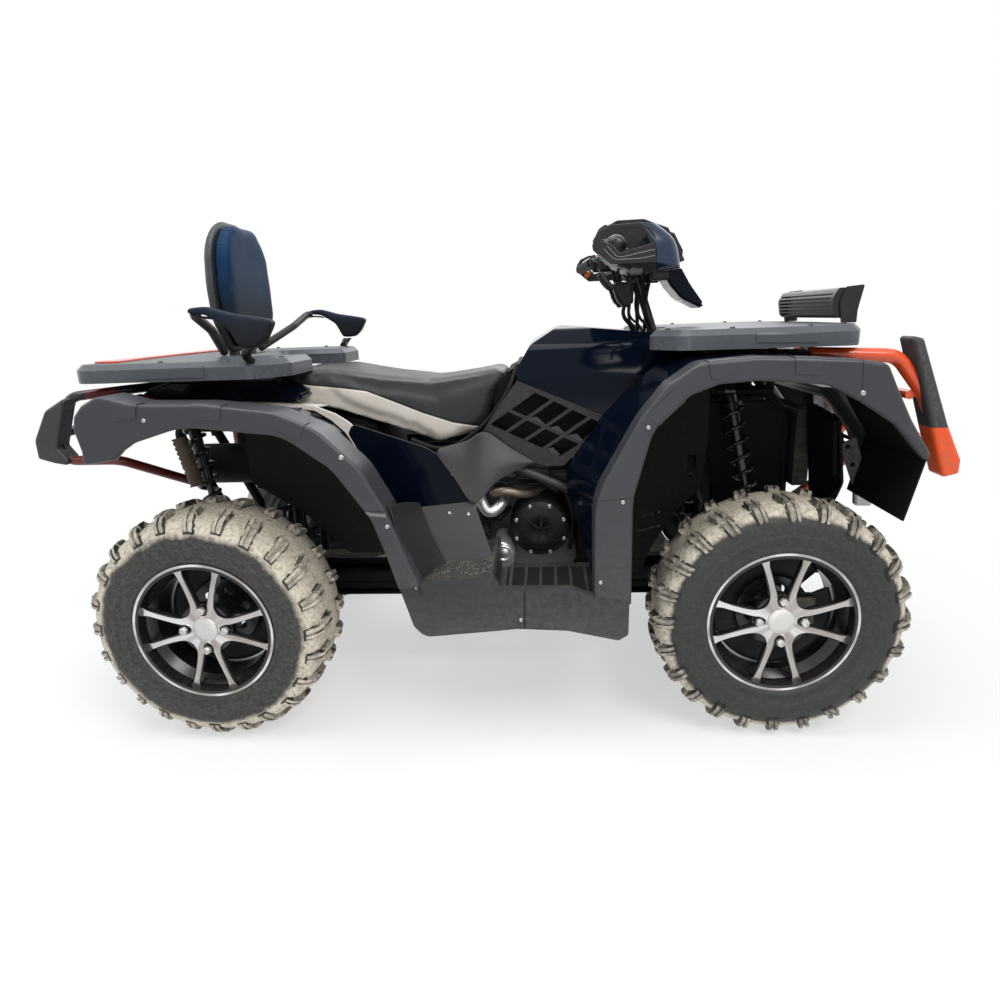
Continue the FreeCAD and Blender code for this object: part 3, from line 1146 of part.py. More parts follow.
def make_nose():
    section = [(-250, 600, 0), (-250, 700, 60), (-225, 880, 30), (225, 880, 30), (250, 700, 60), (250, 600, 0)]
    side = [
        (885, 862, 10), (1000, 850, 30), (1090, 760, 60), (1120, 668, 20), (1122, 637, 6), (1028, 637, 10),
        (985, 740, 60), (935, 810, 20)]
    lamp_side = [(1060, 735, 6), (1112, 735, 6), (1088, 800, 6), (1052, 800, 6)]
    mask = side_plate(side, -300, 300).common(front_plate(section, 800, 1200))
    room = side_plate(inset_outline(side, plastic), -300, 300)
    mask = mask.cut(room.common(front_plate(inset_outline(section, plastic), 800, 1200)))
    mask = mask.cut(block(800, 1050, -210, 210, 600, 830))
    for low in (650, 672, 694):
        mask = mask.cut(block(1080, 1200, -110, 110, low, low + 10))
    lamps = []
    for way in (-1, 1):
        y0, y1 = sorted((way * 125, way * 215))
        mask = mask.cut(side_plate(inset_outline(lamp_side, -run_gap), y0 - run_gap, y1 + run_gap))
        lamps.append(side_plate(lamp_side, y0, y1))
    save("nose_mask", largest(mask.cut(parts["front_bumper"]).cut(parts["front_liners"]).cut(parts["front_fender"])
                              .cut(parts["frame"])))
    save("headlights", Part.makeCompound(lamps).cut(parts["front_bumper"]))
    tail = side_plate([(-976, 812, 3), (-988, 838, 8), (-938, 898, 8), (-880, 880, 3), (-905, 800, 3)], -410, -280)
    tail = tail.cut(parts["rear_fender"])
    tail = max(tail.Solids, key=lambda solid: -solid.BoundBox.XMin)
    save("tail_lights", pair(tail.cut(parts["rear_bumper"])))
    x, z, half = hitch_x, hitch_z, hitch_plate / 2
    hitch = [block(x - 25, x + 100, -32, 32, z - half, z + half)]
    hitch += [rod((x + 90, w * 20, z), (rail_rear_x, w * rail_y, z), 11) for w in (-1, 1)]
    hitch = join(hitch).cut(Part.makeCylinder(hitch_bore, hitch_plate + 20, V(x, 0, z - half - 10), Z_AXIS))
    save("hitch", hitch.cut(parts["frame"]))


def split_frame():
    """The frame's front, middle and rear weldments, bolted together at two stations."""
    whole, reach = parts["frame"], 1500
    stations = (-reach, frame_rear_joint, frame_front_joint, reach)
    for name, low, high in zip(("rear_subframe", "frame", "front_subframe"), stations, stations[1:]):
        save(name, whole.common(block(low + run_gap / 2, high - run_gap / 2, -reach, reach, 0, reach)))


make_wheels()
make_suspension()
make_steering()
save("frame", make_frame())
make_engine()
make_fenders()
make_liners()
make_racks()
make_light_bar()
make_backrest()
make_seat()
make_side_panels()
make_footwells()
make_bumpers()
make_nose()
split_frame()

os.makedirs("parts", exist_ok=True)
for old in os.listdir("parts"):
    os.remove(os.path.join("parts", old))
for name, shape in parts.items():
    shape.exportStep(os.path.join("parts", name + ".step"))
    print(name, len(shape.Solids), shape.isValid(), round(shape.Volume / 1e3, 1))
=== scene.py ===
import math
import random

import bmesh
import bpy
from mathutils import Matrix, Vector
from mathutils import noise as ripple
from mathutils.bvhtree import BVHTree


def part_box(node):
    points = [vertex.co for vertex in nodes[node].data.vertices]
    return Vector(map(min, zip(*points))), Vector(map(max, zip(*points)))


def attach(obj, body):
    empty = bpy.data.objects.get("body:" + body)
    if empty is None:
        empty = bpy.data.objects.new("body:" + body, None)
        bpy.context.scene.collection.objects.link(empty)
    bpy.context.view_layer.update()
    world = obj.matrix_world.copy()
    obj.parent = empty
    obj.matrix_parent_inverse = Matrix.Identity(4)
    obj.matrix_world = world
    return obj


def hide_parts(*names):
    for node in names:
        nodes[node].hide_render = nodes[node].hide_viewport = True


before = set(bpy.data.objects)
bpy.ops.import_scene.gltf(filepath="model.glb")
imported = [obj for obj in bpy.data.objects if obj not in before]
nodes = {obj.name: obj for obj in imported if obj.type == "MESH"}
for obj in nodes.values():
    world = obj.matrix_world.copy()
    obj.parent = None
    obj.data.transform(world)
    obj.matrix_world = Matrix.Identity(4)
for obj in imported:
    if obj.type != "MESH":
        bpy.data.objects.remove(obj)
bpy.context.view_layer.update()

finishes = {}
print("frame loaded,", len(nodes), "nodes")


def link(thing):
    bpy.context.scene.collection.objects.link(thing)
    return thing


def fromShape(name, shape):
    mesh = bpy.data.meshes.new(name)
    shape.to_mesh(mesh)
    shape.free()
    return link(bpy.data.objects.new(name, mesh))


def meshPiece(name, verts, faces, smooth=True):
    mesh = bpy.data.meshes.new(name)
    mesh.from_pydata([tuple(v) for v in verts], [], faces)
    mesh.validate()
    shape = bmesh.new()
    shape.from_mesh(mesh)
    bmesh.ops.remove_doubles(shape, verts=shape.verts, dist=1e-6)
    bmesh.ops.recalc_face_normals(shape, faces=shape.faces)
    for face in shape.faces:
        face.smooth = smooth
    shape.to_mesh(mesh)
    shape.free()
    return link(bpy.data.objects.new(name, mesh))


def baked(piece):
    graph = bpy.context.evaluated_depsgraph_get()
    graph.update()
    mesh = bpy.data.meshes.new_from_object(piece.evaluated_get(graph))
    mesh.name = name = piece.name
    result = bpy.data.objects.new(name + "Mesh", mesh)
    bpy.data.objects.remove(piece)
    result.name = name
    return link(result)


def changed(piece, kind, **settings):
    modifier = piece.modifiers.new(kind.lower(), kind)
    for key, value in settings.items():
        setattr(modifier, key, value)
    return modifier


def walled(piece, thickness, bevel=None):
    changed(piece, "SOLIDIFY", thickness=thickness, offset=0.0)
    if bevel:
        changed(piece, "BEVEL", width=bevel, segments=2)
    return baked(piece)


def joined(name, pieces):
    shape, materials = bmesh.new(), []
    for piece in pieces:
        part = piece.data.copy()
        part.transform(piece.matrix_world)
        if piece.matrix_world.determinant() < 0:
            part.flip_normals()
        offset = len(materials)
        materials += list(part.materials) or [None]
        start = len(shape.faces)
        shape.from_mesh(part)
        shape.faces.ensure_lookup_table()
        for face in shape.faces[start:]:
            face.material_index += offset
        bpy.data.objects.remove(piece)
    whole = fromShape(name, shape)
    for look in materials:
        whole.data.materials.append(look)
    return whole


def mirrored(piece):
    mesh = piece.data.copy()
    mesh.transform(Matrix.Scale(-1, 4, (0, 1, 0)))
    mesh.flip_normals()
    return link(bpy.data.objects.new(piece.name + "Left", mesh))


def lathe(name, profile, centre=(0, 0, 0), segments=64, closed=False, smooth=True):
    verts, faces, count = [], [], len(profile)
    for i in range(segments):
        angle = 2 * math.pi * i / segments
        for radius, y in profile:
            verts.append((centre[0] + radius * math.cos(angle), centre[1] + y, centre[2] + radius * math.sin(angle)))
    for i in range(segments):
        for k in range(count if closed else count - 1):
            a, b = i * count + k, i * count + (k + 1) % count
            c, d = ((i + 1) % segments) * count + (k + 1) % count, ((i + 1) % segments) * count + k
            faces.append((a, b, c, d))
    return meshPiece(name, verts, faces, smooth)


def slab(name, outline, y0, y1, bevel=0.0015, segments=2):
    shape = bmesh.new()
    face = shape.faces.new([shape.verts.new((x, y0, z)) for x, z in outline])
    made = bmesh.ops.extrude_face_region(shape, geom=[face])
    bmesh.ops.translate(shape, verts=[v for v in made["geom"] if isinstance(v, bmesh.types.BMVert)], vec=(0, y1 - y0, 0))
    bmesh.ops.recalc_face_normals(shape, faces=shape.faces)
    bmesh.ops.bevel(shape, geom=list(shape.edges), offset=bevel, segments=segments, affect="EDGES")
    for face in shape.faces:
        face.smooth = False
    return fromShape(name, shape)


def softBlock(name, low, high, bevel=0.003, segments=3):
    (x0, y0, z0), (x1, y1, z1) = low, high
    return slab(name, [(x0, z0), (x1, z0), (x1, z1), (x0, z1)], y0, y1, bevel, segments)


def tube(name, points, radius, smoothness=8, order=3):
    curve = bpy.data.curves.new(name, "CURVE")
    curve.dimensions = "3D"
    curve.bevel_depth, curve.bevel_resolution, curve.resolution_u = radius, 3, smoothness
    curve.use_fill_caps = True
    line = curve.splines.new("NURBS")
    line.points.add(len(points) - 1)
    for spot, point in zip(line.points, points):
        spot.co = (*point, 1)
    line.order_u, line.use_endpoint_u = order, True
    return baked(link(bpy.data.objects.new(name, curve)))


def paint(look):
    return finishes[look] if isinstance(look, str) else look


def finished(piece, look):
    piece.data.materials.clear()
    piece.data.materials.append(paint(look))
    return piece


def ride(piece, body):
    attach(piece, body)
    return piece


def wired(tree, node, values):
    for key, value in values.items():
        if isinstance(value, bpy.types.NodeSocket):
            tree.links.new(value, node.inputs[key])
        else:
            node.inputs[key].default_value = value
    return node


def add(tree, kind, values=None, **settings):
    node = tree.nodes.new(kind)
    for key, value in settings.items():
        setattr(node, key, value)
    return wired(tree, node, values or {})


def calc(tree, operation, first, second=0.0, clamp=False):
    return add(tree, "ShaderNodeMath", {0: first, 1: second}, operation=operation, use_clamp=clamp).outputs[0]


def plus(tree, first, second, clamp=False):
    return calc(tree, "ADD", first, second, clamp)


def times(tree, first, second, clamp=False):
    return calc(tree, "MULTIPLY", first, second, clamp)


def ranged(tree, value, low, high, outLow=0.0, outHigh=1.0, smooth=True):
    return add(tree, "ShaderNodeMapRange", {"Value": value, "From Min": low, "From Max": high, "To Min": outLow,
                                            "To Max": outHigh},
               interpolation_type="SMOOTHSTEP" if smooth else "LINEAR").outputs[0]


def noise(tree, vector, scale, detail=3.0, roughness=0.55):
    return add(tree, "ShaderNodeTexNoise", {"Vector": vector, "Scale": scale, "Detail": detail,
                                            "Roughness": roughness}).outputs["Fac"]


def blended(tree, factor, first, second):
    return add(tree, "ShaderNodeMix", {0: factor, 6: first, 7: second}, data_type="RGBA").outputs[2]


def vectorMath(tree, operation, first, second=(0, 0, 0)):
    node = add(tree, "ShaderNodeVectorMath", {0: first, 1: second}, operation=operation)
    return node.outputs["Value" if operation in ("LENGTH", "DOT_PRODUCT") else "Vector"]


def split(tree, vector):
    return add(tree, "ShaderNodeSeparateXYZ", {0: vector}).outputs


def vectorOf(tree, parts):
    return add(tree, "ShaderNodeCombineXYZ", parts).outputs[0]


def bumped(tree, height, strength, distance):
    return add(tree, "ShaderNodeBump", {"Height": height, "Strength": strength, "Distance": distance}).outputs["Normal"]


cameraSet = {"place": (0.1753, -2.0606, 1.0675), "yaw": 0.073668, "pitch": 0.267758, "roll": -0.035226, "lens": 24.04,
             "sensor": 36, "clip": (0.05, 100)}


def makeCamera():
    yaw, pitch, roll = cameraSet["yaw"], cameraSet["pitch"], cameraSet["roll"]
    look = Vector((-math.sin(yaw) * math.cos(pitch), math.cos(yaw) * math.cos(pitch), -math.sin(pitch)))
    side = Vector((math.cos(yaw), math.sin(yaw), 0))
    up = side.cross(look)
    across = math.cos(roll) * side + math.sin(roll) * up
    upward = -math.sin(roll) * side + math.cos(roll) * up
    camera = link(bpy.data.objects.new("camera", bpy.data.cameras.new("camera")))
    camera.data.lens, camera.data.sensor_width = cameraSet["lens"], cameraSet["sensor"]
    camera.data.clip_start, camera.data.clip_end = cameraSet["clip"]
    turn = Matrix((across, upward, -look)).transposed()
    camera.matrix_world = Matrix.Translation(cameraSet["place"]) @ turn.to_4x4()
    bpy.context.scene.camera = camera


# each lamp: name, place, size, power, colour
lightSet = {
    "world": 0.36, "sky": (0.93, 0.96, 1.0, 1), "aim": (0, 0, 0.5),
    "lamps": (
        ("keyLamp", (1.9, -2.9, 3.9), 2.0, 104, (1.0, 0.98, 0.95)),
        ("topLamp", (-0.6, -0.6, 4.2), 2.6, 104, (0.94, 0.97, 1.0)),
        ("rearLamp", (-3.2, -1.0, 2.4), 1.8, 22, (0.93, 0.96, 1.0)),
        ("farLamp", (0.6, 3.4, 3.2), 2.6, 46, (0.95, 0.97, 1.0)),
        ("lowLamp", (0.2, -3.8, 0.6), 1.4, 9, (1.0, 1.0, 1.0)),
    ),
}


def seenRay(tree):
    rays = add(tree, "ShaderNodeLightPath").outputs  # 1 for what the camera, metal and glass see
    direct = calc(tree, "MAXIMUM", rays["Is Camera Ray"], rays["Is Glossy Ray"])
    return calc(tree, "MAXIMUM", direct, rays["Is Transmission Ray"])


def makeLight():
    world = bpy.data.worlds.new("studio")
    world.use_nodes = True
    tree = world.node_tree
    tree.nodes.clear()
    plain = add(tree, "ShaderNodeBackground", {"Color": lightSet["sky"], "Strength": lightSet["world"]})
    seen = add(tree, "ShaderNodeBackground", {"Color": (1, 1, 1, 1)})
    mix = add(tree, "ShaderNodeMixShader", {0: seenRay(tree), 1: plain.outputs[0], 2: seen.outputs[0]})
    add(tree, "ShaderNodeOutputWorld", {"Surface": mix.outputs[0]})
    bpy.context.scene.world = world
    bpy.context.scene.view_settings.view_transform = "Standard"
    for name, place, size, power, colour in lightSet["lamps"]:
        lamp = bpy.data.lights.new(name, "AREA")
        lamp.size, lamp.energy, lamp.color = size, power, colour
        holder = link(bpy.data.objects.new(name, lamp))
        holder.location = place
        holder.rotation_euler = (Vector(lightSet["aim"]) - Vector(place)).to_track_quat("-Z", "Y").to_euler()


makeCamera()
makeLight()


def shaderGroup(name, inputs, outputs):
    tree = bpy.data.node_groups.new(name, "ShaderNodeTree")
    tree.interface.new_socket(name="Where", in_out="INPUT", socket_type="NodeSocketVector")
    for label, value in inputs.items():
        tree.interface.new_socket(name=label, in_out="INPUT", socket_type="NodeSocketFloat").default_value = value
    for label in outputs:
        kind = "NodeSocketColor" if label == "Colour" else "NodeSocketFloat"
        tree.interface.new_socket(name=label, in_out="OUTPUT", socket_type=kind)
    given = tree.nodes.new("NodeGroupInput").outputs
    return tree, given, given["Where"], tree.nodes.new("NodeGroupOutput")


# moulded grain: fine pebbled height, a slow shade change over the panel, and long faint rub marks
grainGroup, given, where, put = shaderGroup("mouldedGrain", {"Size": 900.0}, ("Height", "Shade", "Scuff"))
pebbles = add(grainGroup, "ShaderNodeTexVoronoi", {"Vector": where, "Scale": given["Size"]}).outputs["Distance"]
stretched = add(grainGroup, "ShaderNodeMapping", {"Vector": where, "Scale": (9.0, 60.0, 130.0)}).outputs["Vector"]
wired(grainGroup, put, {
    "Height": plus(grainGroup, pebbles, noise(grainGroup, where, 420.0, 2.0)),
    "Shade": ranged(grainGroup, noise(grainGroup, where, 3.5, 2.0), 0.15, 0.85),
    "Scuff": ranged(grainGroup, noise(grainGroup, stretched, 2.0, 5.0, 0.7), 0.55, 0.85)})

# dust: a film on faces that look up, thicker low down, in level streaks and fine specks
dustGroup, given, where, put = shaderGroup("settledDust", {"Amount": 0.5, "Low": 0.25, "High": 0.9}, ("Mask",))
facing = split(dustGroup, add(dustGroup, "ShaderNodeNewGeometry").outputs["Normal"])[2]
lower = ranged(dustGroup, split(dustGroup, where)[2], given["Low"], given["High"], 1.0, 0.0, False)
level = add(dustGroup, "ShaderNodeMapping", {"Vector": where, "Scale": (1.0, 1.0, 9.0)}).outputs["Vector"]
patches = ranged(dustGroup, noise(dustGroup, level, 11.0, 6.0, 0.65), 0.2, 0.9)
specks = ranged(dustGroup, noise(dustGroup, where, 260.0, 3.0, 0.7), 0.35, 0.85)
both = plus(dustGroup, times(dustGroup, ranged(dustGroup, facing, 0.2, 1.0), 0.3), times(dustGroup, lower, 0.8))
both = times(dustGroup, both, plus(dustGroup, times(dustGroup, patches, 0.75), times(dustGroup, specks, 0.3)))
wired(dustGroup, put, {"Mask": times(dustGroup, both, given["Amount"], True)})

# wear: pale along sharp edges, broken up
wearGroup, given, where, put = shaderGroup("edgeWear", {"Amount": 0.5}, ("Mask",))
sharp = ranged(wearGroup, add(wearGroup, "ShaderNodeNewGeometry").outputs["Pointiness"], 0.53, 0.62)
chips = ranged(wearGroup, noise(wearGroup, where, 70.0, 5.0, 0.7), 0.42, 0.6)
wired(wearGroup, put, {"Mask": times(wearGroup, times(wearGroup, sharp, chips), given["Amount"], True)})

# dried mud round a wheel: thick towards the tread, cracked and patchy, thin film further in
mudGroup, given, where, put = shaderGroup("driedMud", {"Inner": 0.24, "Outer": 0.3, "Film": 0.25},
                                          ("Mask", "Colour", "Height"))
x, _, z = split(mudGroup, where)
radial = vectorMath(mudGroup, "LENGTH", vectorOf(mudGroup, {0: x, 1: z}))
coarse = noise(mudGroup, where, 17.0, 6.0, 0.65)
small = noise(mudGroup, where, 110.0, 5.0, 0.7)
edge = ranged(mudGroup, radial, given["Inner"], given["Outer"], smooth=False)
wet = plus(mudGroup, edge, times(mudGroup, calc(mudGroup, "SUBTRACT", coarse, 0.5), 0.95))
thick = ranged(mudGroup, wet, 0.25, 0.7)
film = times(mudGroup, given["Film"], ranged(mudGroup, small, 0.35, 0.7))
tone = blended(mudGroup, ranged(mudGroup, small, 0.3, 0.7), (0.46, 0.405, 0.315, 1), (0.8, 0.735, 0.61, 1))
patched = times(mudGroup, thick, ranged(mudGroup, small, 0.22, 0.5, 0.55, 1.0))
wired(mudGroup, put, {
    "Mask": calc(mudGroup, "MAXIMUM", patched, film, True),
    "Colour": blended(mudGroup, ranged(mudGroup, coarse, 0.35, 0.65, 0.0, 0.5), tone, (0.66, 0.595, 0.48, 1)),
    "Height": plus(mudGroup, times(mudGroup, thick, coarse), times(mudGroup, small, 0.35))})
print("shader groups built")


def use(tree, group, where, values=None):
    node = add(tree, "ShaderNodeGroup", node_tree=group)
    return wired(tree, node, {"Where": where, **(values or {})}).outputs


def material(name):
    made = bpy.data.materials.new(name)
    made.use_nodes = True
    tree = made.node_tree
    return made, tree, tree.nodes["Principled BSDF"], tree.nodes.new("ShaderNodeTexCoord").outputs["Object"]


dustColour = (0.42, 0.36, 0.27, 1)
plasticBase = {"rough": 0.45, "grain": 0.05, "size": 900.0, "dust": 0.2, "low": 0.25, "high": 0.9, "wear": 0.3,
               "metal": 0.0, "shade": 0.08, "scuff": 0.05, "gloss": 0.4, "coat": 0.0, "coatRough": 0.04}


def plastic(name, colour, changes):
    kept = {**plasticBase, **changes}
    pale = tuple(min(1.0, 1.7 * c + 0.02) for c in colour) + (1,)
    dark, light = (tuple(min(1.0, c * (1 + step * kept["shade"])) for c in colour) + (1,) for step in (-1, 1))
    made, tree, shader, where = material(name)
    grain = use(tree, grainGroup, where, {"Size": kept["size"]})
    wear = use(tree, wearGroup, where, {"Amount": kept["wear"]})["Mask"]
    dust = use(tree, dustGroup, where, {"Amount": kept["dust"], "Low": kept["low"], "High": kept["high"]})["Mask"]
    base = blended(tree, grain["Shade"], dark, light)
    base = blended(tree, times(tree, grain["Scuff"], kept["scuff"]), base, pale)
    rough = plus(tree, times(tree, grain["Scuff"], 0.1), kept["rough"])
    wired(tree, shader, {
        "Base Color": blended(tree, dust, blended(tree, wear, base, pale), dustColour),
        "Roughness": plus(tree, rough, times(tree, dust, 0.5), True),
        "Metallic": kept["metal"], "Specular IOR Level": kept["gloss"],
        "Coat Weight": kept["coat"], "Coat Roughness": kept["coatRough"],
        "Normal": bumped(tree, grain["Height"], kept["grain"], 0.0006)})
    return made


plasticSet = {
    "flareGrey": ((0.031, 0.034, 0.04), dict(rough=0.38, gloss=0.42, grain=0.1, size=1100, dust=0.14, high=0.8)),
    "footGrey": ((0.024, 0.0245, 0.026), dict(rough=0.44, gloss=0.4, grain=0.1, size=1100, dust=0.34, low=0.24,
        high=0.41, wear=0.45)),
    "rackGrey": ((0.066, 0.074, 0.086), dict(rough=0.4, grain=0.1, size=1000, dust=0.1, wear=0.45)),
    "glossNavy": ((0.0014, 0.0036, 0.0105), dict(rough=0.09, grain=0.0, dust=0.01, wear=0.0, gloss=0.1, scuff=0.01)),
    # navy with the blue of a reflected sky painted in: a painted reflection on the hand guard fronts and the cover's
    # brow
    "skyNavy": ((0.006, 0.02, 0.052), dict(rough=0.22, grain=0.0, dust=0.02, wear=0.1, gloss=0.45)),
    "panelGrey": ((0.03, 0.031, 0.034), dict(rough=0.46, grain=0.1, size=1100, dust=0.12, high=0.8)),
    "louvreBlack": ((0.01, 0.0105, 0.0125), dict(rough=0.36, grain=0.08, size=1200, dust=0.04, gloss=0.3)),
    "linerBlack": ((0.0035, 0.0038, 0.0045), dict(rough=0.6, grain=0.12, size=800, dust=0.03, wear=0.1, gloss=0.12)),
    "creamPanel": ((0.8, 0.745, 0.665), dict(rough=0.34, grain=0.02, dust=0.06, wear=0.0, shade=0.02)),
    "orangePaint": ((0.74, 0.08, 0.018), dict(rough=0.26, grain=0.02, size=600, dust=0.08, wear=0.15, shade=0.05,
        coat=0.5)),
    "redPaint": ((0.115, 0.01, 0.008), dict(rough=0.3, grain=0.02, size=600, dust=0.12, coat=0.3)),
    "satinBlack": ((0.007, 0.007, 0.008), dict(rough=0.34, grain=0.05, size=700, dust=0.14, low=0.2, high=0.7,
        wear=0.35)),
    "coverBlack": ((0.006, 0.006, 0.007), dict(rough=0.42, grain=0.1, size=700, dust=0.06, wear=0.3, gloss=0.22)),
    "castAluminium": ((0.66, 0.655, 0.64), dict(rough=0.38, grain=0.35, size=500, dust=0.18, high=0.7, metal=0.85,
        shade=0.12)),
    "engineGrey": ((0.06, 0.06, 0.06), dict(rough=0.45, grain=0.35, size=500, dust=0.3, high=0.7, metal=0.4,
        shade=0.15)),
    "castIron": ((0.085, 0.078, 0.07), dict(rough=0.55, grain=0.35, size=450, dust=0.6, low=0.2, high=0.6, metal=0.4,
        shade=0.2)),
    "rubberBlack": ((0.006, 0.006, 0.006), dict(rough=0.6, grain=0.25, size=500, dust=0.03, gloss=0.2, wear=0.0)),
    "chrome": ((0.72, 0.72, 0.72), dict(rough=0.2, grain=0.0, dust=0.1, low=0.2, high=0.6, wear=0.0, metal=1.0)),
    "zincSteel": ((0.4, 0.4, 0.39), dict(rough=0.34, grain=0.1, size=500, dust=0.3, low=0.2, high=0.7, metal=0.9)),
    "springBlack": ((0.006, 0.006, 0.007), dict(rough=0.28, grain=0.02, dust=0.15, low=0.3, high=0.9, coat=0.3)),
    "bellowsTan": ((0.085, 0.06, 0.038), dict(rough=0.7, grain=0.4, size=300, dust=0.7, low=0.4, high=1.0, shade=0.3)),
    "headerPipe": ((0.3, 0.235, 0.185), dict(rough=0.45, grain=0.3, size=400, dust=0.25, metal=0.7, shade=0.3)),
    # pale grey for painted highlights along seams: the band across the rear flare legs and the lines on the hand guards
    "paleBand": ((0.16, 0.165, 0.17), dict(rough=0.42, grain=0.05, dust=0.1, wear=0.0)),
    "zincDusty": ((0.105, 0.107, 0.112), dict(rough=0.5, grain=0.1, size=500, dust=0.2, metal=0.2, wear=0.6)),
    "paleDust": ((0.42, 0.43, 0.45), dict(rough=0.6, grain=0.2, dust=0.1, wear=0.2)),
    "mudCrumb": ((0.085, 0.078, 0.064), dict(rough=0.9, grain=0.6, size=300, dust=0.0, wear=0.0, shade=0.3)),
    "leafBits": ((0.15, 0.145, 0.105), dict(rough=0.8, grain=0.4, size=300, dust=0.0, wear=0.0, shade=0.4)),
    "lampDark": ((0.01, 0.011, 0.013), dict(rough=0.12, grain=0.0, dust=0.03, wear=0.0, coat=0.5)),
}

# both leathers: pairs of colours, and the band of heights where the backrest turns blue black, a painted reflection of
# the sky on the upper pad
vinylSet = {"black": ((0.009, 0.01, 0.013, 1), (0.016, 0.018, 0.022, 1)), "cream": ((0.76, 0.7, 0.61, 1), (0.84, 0.78, 0.7, 1)),
            "sky": (0.006, 0.03, 0.078, 1), "skyReflectBand": (1.02, 1.26), "dust": (0.3, 0.27, 0.22, 1), "cells": 520.0,
            "seam": 0.05, "groove": 0.005}


def vinyl(name, sky=False):
    made, tree, shader, where = material(name)
    line = add(tree, "ShaderNodeAttribute", attribute_name="seamLine").outputs["Fac"]
    cream = ranged(tree, line, 0.0505, 0.0515, smooth=False)
    cells = add(tree, "ShaderNodeTexVoronoi", {"Vector": where, "Scale": vinylSet["cells"]}, feature="DISTANCE_TO_EDGE")
    slow = ranged(tree, noise(tree, where, 7.0, 4.0), 0.3, 0.7)
    dust = use(tree, dustGroup, where, {"Amount": 0.16, "Low": 0.5, "High": 1.3})["Mask"]
    black = blended(tree, slow, *vinylSet["black"])
    # painted reflection: the upper backrest is blended to the blue of a reflected sky
    if sky:
        black = blended(tree, ranged(tree, split(tree, where)[2], *vinylSet["skyReflectBand"]), black, vinylSet["sky"])
    base = blended(tree, cream, black, blended(tree, slow, *vinylSet["cream"]))
    groove = calc(tree, "ABSOLUTE", calc(tree, "SUBTRACT", line, vinylSet["seam"]))
    groove = ranged(tree, groove, 0.0, vinylSet["groove"])
    height = plus(tree, times(tree, ranged(tree, cells.outputs["Distance"], 0.0, 0.06), 0.1), groove)
    wired(tree, shader, {
        "Base Color": blended(tree, dust, base, vinylSet["dust"]), "Roughness": plus(tree, 0.34, times(tree, slow, 0.12)),
        "Specular IOR Level": 0.06 if sky else 0.38, "Normal": bumped(tree, height, 0.45, 0.0025)})
    return made


def tyreRubber(name, centre, mud, film, tops=1.0):
    made, tree, shader, where = material(name)
    local = vectorMath(tree, "SUBTRACT", where, centre)
    mud = use(tree, mudGroup, local, {"Inner": mud[0], "Outer": mud[1], "Film": film})
    # the walls of the tread blocks look along the tyre's travel and stay nearly bare of mud; their dark rubber there is
    # also painted shade on the walls
    x, _, z = split(tree, local)
    travel = vectorMath(tree, "NORMALIZE", vectorOf(tree, {0: z, 2: times(tree, x, -1.0)}))
    normal = tree.nodes.new("ShaderNodeTexCoord").outputs["Normal"]
    bareAndShadedWalls = ranged(tree, calc(tree, "ABSOLUTE", vectorMath(tree, "DOT_PRODUCT", normal, travel)), 0.45, 0.75)
    patchy = ranged(tree, noise(tree, local, 38.0, 3.0), 0.4, 0.62, 0.35, 1.0)
    held = times(tree, mud["Mask"], calc(tree, "SUBTRACT", 1.0, times(tree, bareAndShadedWalls, patchy)))
    held = times(tree, held, ranged(tree, noise(tree, local, 26.0, 4.0), 0.35, 0.65, tops, min(1.0, tops + 0.45)))
    grain = use(tree, grainGroup, where, {"Size": 600.0})
    rubber = blended(tree, grain["Shade"], (0.01, 0.01, 0.01, 1), (0.015, 0.015, 0.015, 1))
    height = plus(tree, times(tree, mud["Height"], held), times(tree, grain["Height"], 0.08))
    wired(tree, shader, {
        "Base Color": blended(tree, held, rubber, mud["Colour"]), "Normal": bumped(tree, height, 0.7, 0.004),
        "Roughness": plus(tree, 0.46, times(tree, held, 0.45), True)})
    return made


# the quarter is one eighth of the face's outline and its twin: radius and angle from the spoke's middle
rimSet = {
    # turned: dark and light tones of the turned metal, mixed round the wheel as a painted reflection
    "lipFrom": 0.1775, "plate": 0.0026, "dust": (0.34, 0.3, 0.23, 1), "turned": ((0.36, 0.325, 0.3, 1), (0.88, 0.88, 0.89, 1)),
    "quarter": [(0.037, 0.0), (0.039, 8.5), (0.045, 13.2), (0.055, 14.4), (0.064, 12.8), (0.076, 12.7), (0.1, 13.5),
                (0.13, 14.4), (0.15, 14.8), (0.16, 14.2), (0.1758, 12.7), (0.1762, 21.9), (0.162, 20.3), (0.15, 19.9),
                (0.13, 19.8), (0.1, 20.8), (0.08, 23.0), (0.068, 27.0), (0.061, 32.5), (0.0572, 38.5), (0.056, 45.0)],
}


